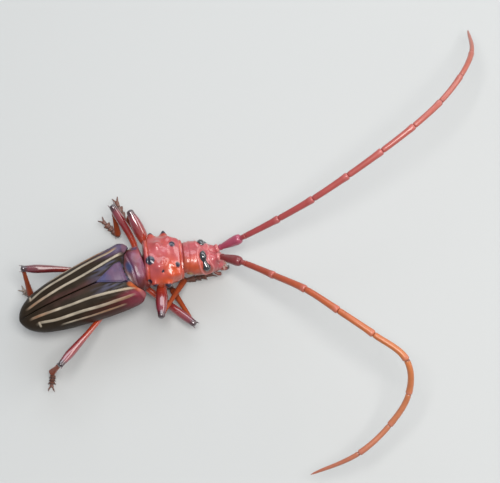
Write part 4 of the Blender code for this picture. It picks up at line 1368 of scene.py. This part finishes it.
def shin(name, leg):
    points, ankle, _, _ = leg
    knee, ankle = Vector(points[-1]), Vector(ankle)
    down = (ankle - knee).normalized()
    start = knee + down * 0.2
    bm = bmesh.new()
    shares = shares_of(40)
    route = [start.lerp(ankle, s) + UPRIGHT * math.sin(math.pi * s) * SHIN_BOW for s in shares]
    swept(bm, route, [straight_at(SHIN_RADII, s) for s in shares], sides=28)
    dice = random.Random(name)
    side = down.cross(UPRIGHT).normalized()
    for turn_angle in SPUR_TURNS:
        out = Matrix.Rotation(turn_angle, 3, down) @ side
        thorn(bm, ankle - down * 0.1 + out * 0.25, ankle + down * 0.5 + out * 0.45, 0.06)
    for k in range(SHIN_BRISTLES):
        s = dice.uniform(0.25, 0.97)
        out = Matrix.Rotation(dice.uniform(0, 6.28), 3, down) @ side
        root = start.lerp(ankle, s) + out * straight_at(SHIN_RADII, s) * 0.9
        thorn(bm, root, root + out * 0.12 + down * dice.uniform(0.12, 0.2), 0.012)
    painted(bm, "knee", lambda p: 1 - ease(0.25, 0.7, (p - knee).length))
    painted(bm, "foot_dark", lambda p: 1 - ease(0.2, 0.7, (p - ankle).length))
    return piece(bm, "shin_" + name, SHIN_SHELL, ["leg_" + name + "_tibia"])


SHIN_SHELL = shell("shin shell", (0.26, 0.045, 0.012), (
    ("foot_dark", (0.08, 0.024, 0.014)), ("knee", (0.03, 0.008, 0.008)),
), roughness=0.5, coat=0.05, relief=0.2, drift=0.5, punctures=6000.0, shine=0.14)
for leg_name, leg in LEGS.items():
    shin(leg_name, leg)

# %% [markdown]
# A foot has a long first joint, a short second, a heart-shaped third that hides a tiny fourth, and a
# slender last joint with the claws. The pads under them are soft and pale. Everything rests on the
# floor, so each lobe is flattened where it would sink below it.

# %% The foot's sizes
FOOT_RADII = (
    (0.0, 0.24), (0.08, 0.26), (0.3, 0.4), (0.34, 0.25), (0.38, 0.26), (0.52, 0.43), (0.555, 0.24),
    (0.58, 0.26), (0.74, 0.5), (0.77, 0.22), (0.8, 0.2), (0.93, 0.27), (0.99, 0.26), (1.0, 0.1),
)
FOOT_HEIGHT, FOOT_FLATNESS = 0.3, 0.72
FOOT_GAPS = (0.35, 0.56, 0.78)
NECK_RADII = [0.27] * 9 + [0.26, 0.24, 0.2, 0.1]
CLAW_RADII = [0.13 - 0.008 * k for k in range(12)] + [0.015]
FOOT_BRISTLES = 170
print("a foot has", len(FOOT_GAPS) + 1, "joints that show, and 2 claws")


# %% Feet
def foot(name, leg):
    _, ankle, toe, _ = leg
    ankle, toe = Vector(ankle), Vector((*toe, FOOT_HEIGHT))
    heel = Vector((ankle.x, ankle.y, FOOT_HEIGHT)).lerp(toe, 0.04)
    ahead = (toe - heel).normalized()
    across = Vector((-ahead.y, ahead.x, 0))
    bm = bmesh.new()
    shares = shares_of(70)
    radii = [straight_at(FOOT_RADII, s) for s in shares]
    swept(bm, [heel.lerp(toe, s) for s in shares], radii, sides=24, flat=FOOT_FLATNESS)
    neck = route_through((ankle + UPRIGHT * 0.1, ankle.lerp(heel, 0.6), heel + ahead * 0.35), 12)
    swept(bm, neck, NECK_RADII, sides=20)
    for side in (-1, 1):
        hook = route_through((
            toe - ahead * 0.15 + across * side * 0.06,
            toe + ahead * 0.28 + across * side * 0.3 + UPRIGHT * 0.08,
            toe + ahead * 0.58 + across * side * 0.4 - UPRIGHT * 0.22), 12)
        swept(bm, hook, CLAW_RADII, sides=10)
    dice = random.Random(name + " foot")
    for k in range(FOOT_BRISTLES):
        s = dice.uniform(0.05, 0.76)
        side = dice.choice((-1, 1))
        edge = heel.lerp(toe, s) + across * side * straight_at(FOOT_RADII, s) * 0.9
        root = edge - UPRIGHT * dice.uniform(0.0, 0.14)
        thorn(bm, root, root + across * side * 0.1 + ahead * 0.1 - UPRIGHT * 0.08, 0.014)
    for vert in bm.verts:
        vert.co.z = max(vert.co.z, 0.0)
    silver = 0.5 if name == "left_hind" else 0.0
    painted(bm, "pad", lambda p: max(silver, ease(0.24, 0.1, p.z) * 0.9))
    length = (toe - heel).length
    painted(bm, "joint_gap", lambda p: max(
        1 - ease(0.0, 0.1, abs((p - heel).dot(ahead) - length * gap)) for gap in FOOT_GAPS))
    return piece(bm, "foot_" + name, FOOT_SHELL, ["leg_" + name + "_tarsus"])


FOOT_SHELL = shell("foot shell", (0.12, 0.045, 0.028), (
    ("pad", (0.38, 0.35, 0.29)), ("joint_gap", (0.035, 0.014, 0.011)),
), roughness=0.5, coat=0.1, relief=0.3, drift=0.6, punctures=7000.0)
for leg_name, leg in LEGS.items():
    foot(leg_name, leg)

# %% [markdown]
# ## Floor and light
# The beetle stands on a plain pale floor, which belongs to the stage and not to the model. One soft
# lamp overhead gives the shell its long gleams. A cool one stands to the left, and a long low strip
# in front draws the bright lines along the slanting thighs. The surroundings are pale and even.

# %% Floor
FLOOR_COLOUR, FLOOR_ROUGHNESS = (0.45, 0.46, 0.45), 0.9
floor_mesh = bpy.data.meshes.new("floor")
bm = bmesh.new()
bmesh.ops.create_grid(bm, x_segments=1, y_segments=1, size=0.6)
bm.to_mesh(floor_mesh)
bm.free()
floor = bpy.data.objects.new("floor", floor_mesh)
bpy.context.scene.collection.objects.link(floor)
pale = bpy.data.materials.new("pale floor")
pale.use_nodes = True
floor_shader = pale.node_tree.nodes["Principled BSDF"]
floor_shader.inputs["Base Color"].default_value = (*FLOOR_COLOUR, 1)
floor_shader.inputs["Roughness"].default_value = FLOOR_ROUGHNESS
floor_mesh.materials.append(pale)
print("floor:", [round(side, 2) for side in floor.dimensions[:2]], "m")


# %% [markdown]
# A glossy shell shows each lamp as a bright patch, so a lamp's shape matters as much as its power.
# Broad lamps give soft gleams, and small ones would give hard dots. All of them face one point on
# the fore body.

# %% Light
LIT_POINT = TO_SCENE @ Vector((2, 0, 4))
ROOM_COLOUR, ROOM_STRENGTH = (0.9, 0.93, 1.0), 0.36


def lamp(name, at, size, power, colour):
    """A soft oblong lamp that faces the beetle; at is in the beetle's millimetres."""
    data = bpy.data.lights.new(name, "AREA")
    data.shape = "RECTANGLE"
    data.size, data.size_y = size
    data.energy, data.color = power, colour
    made = bpy.data.objects.new(name, data)
    made.location = TO_SCENE @ Vector(at)
    made.rotation_mode = "QUATERNION"
    made.rotation_quaternion = (made.location - LIT_POINT).to_track_quat("Z", "Y")
    bpy.context.scene.collection.objects.link(made)


lamp("overhead", (40, -40, 260), (0.09, 0.16), 0.66, (1.0, 0.98, 0.97))
lamp("cool side", (150, 265, 255), (0.35, 0.2), 0.7, (0.86, 0.92, 1.0))
lamp("front strip", (350, -30, 170), (0.5, 0.12), 0.8, (1.0, 0.96, 0.93))
world = bpy.data.worlds.new("studio")
world.use_nodes = True
room = world.node_tree.nodes["Background"]
room.inputs["Color"].default_value = (*ROOM_COLOUR, 1)
room.inputs["Strength"].default_value = ROOM_STRENGTH
bpy.context.scene.world = world
bpy.context.scene.view_settings.view_transform = "Standard"
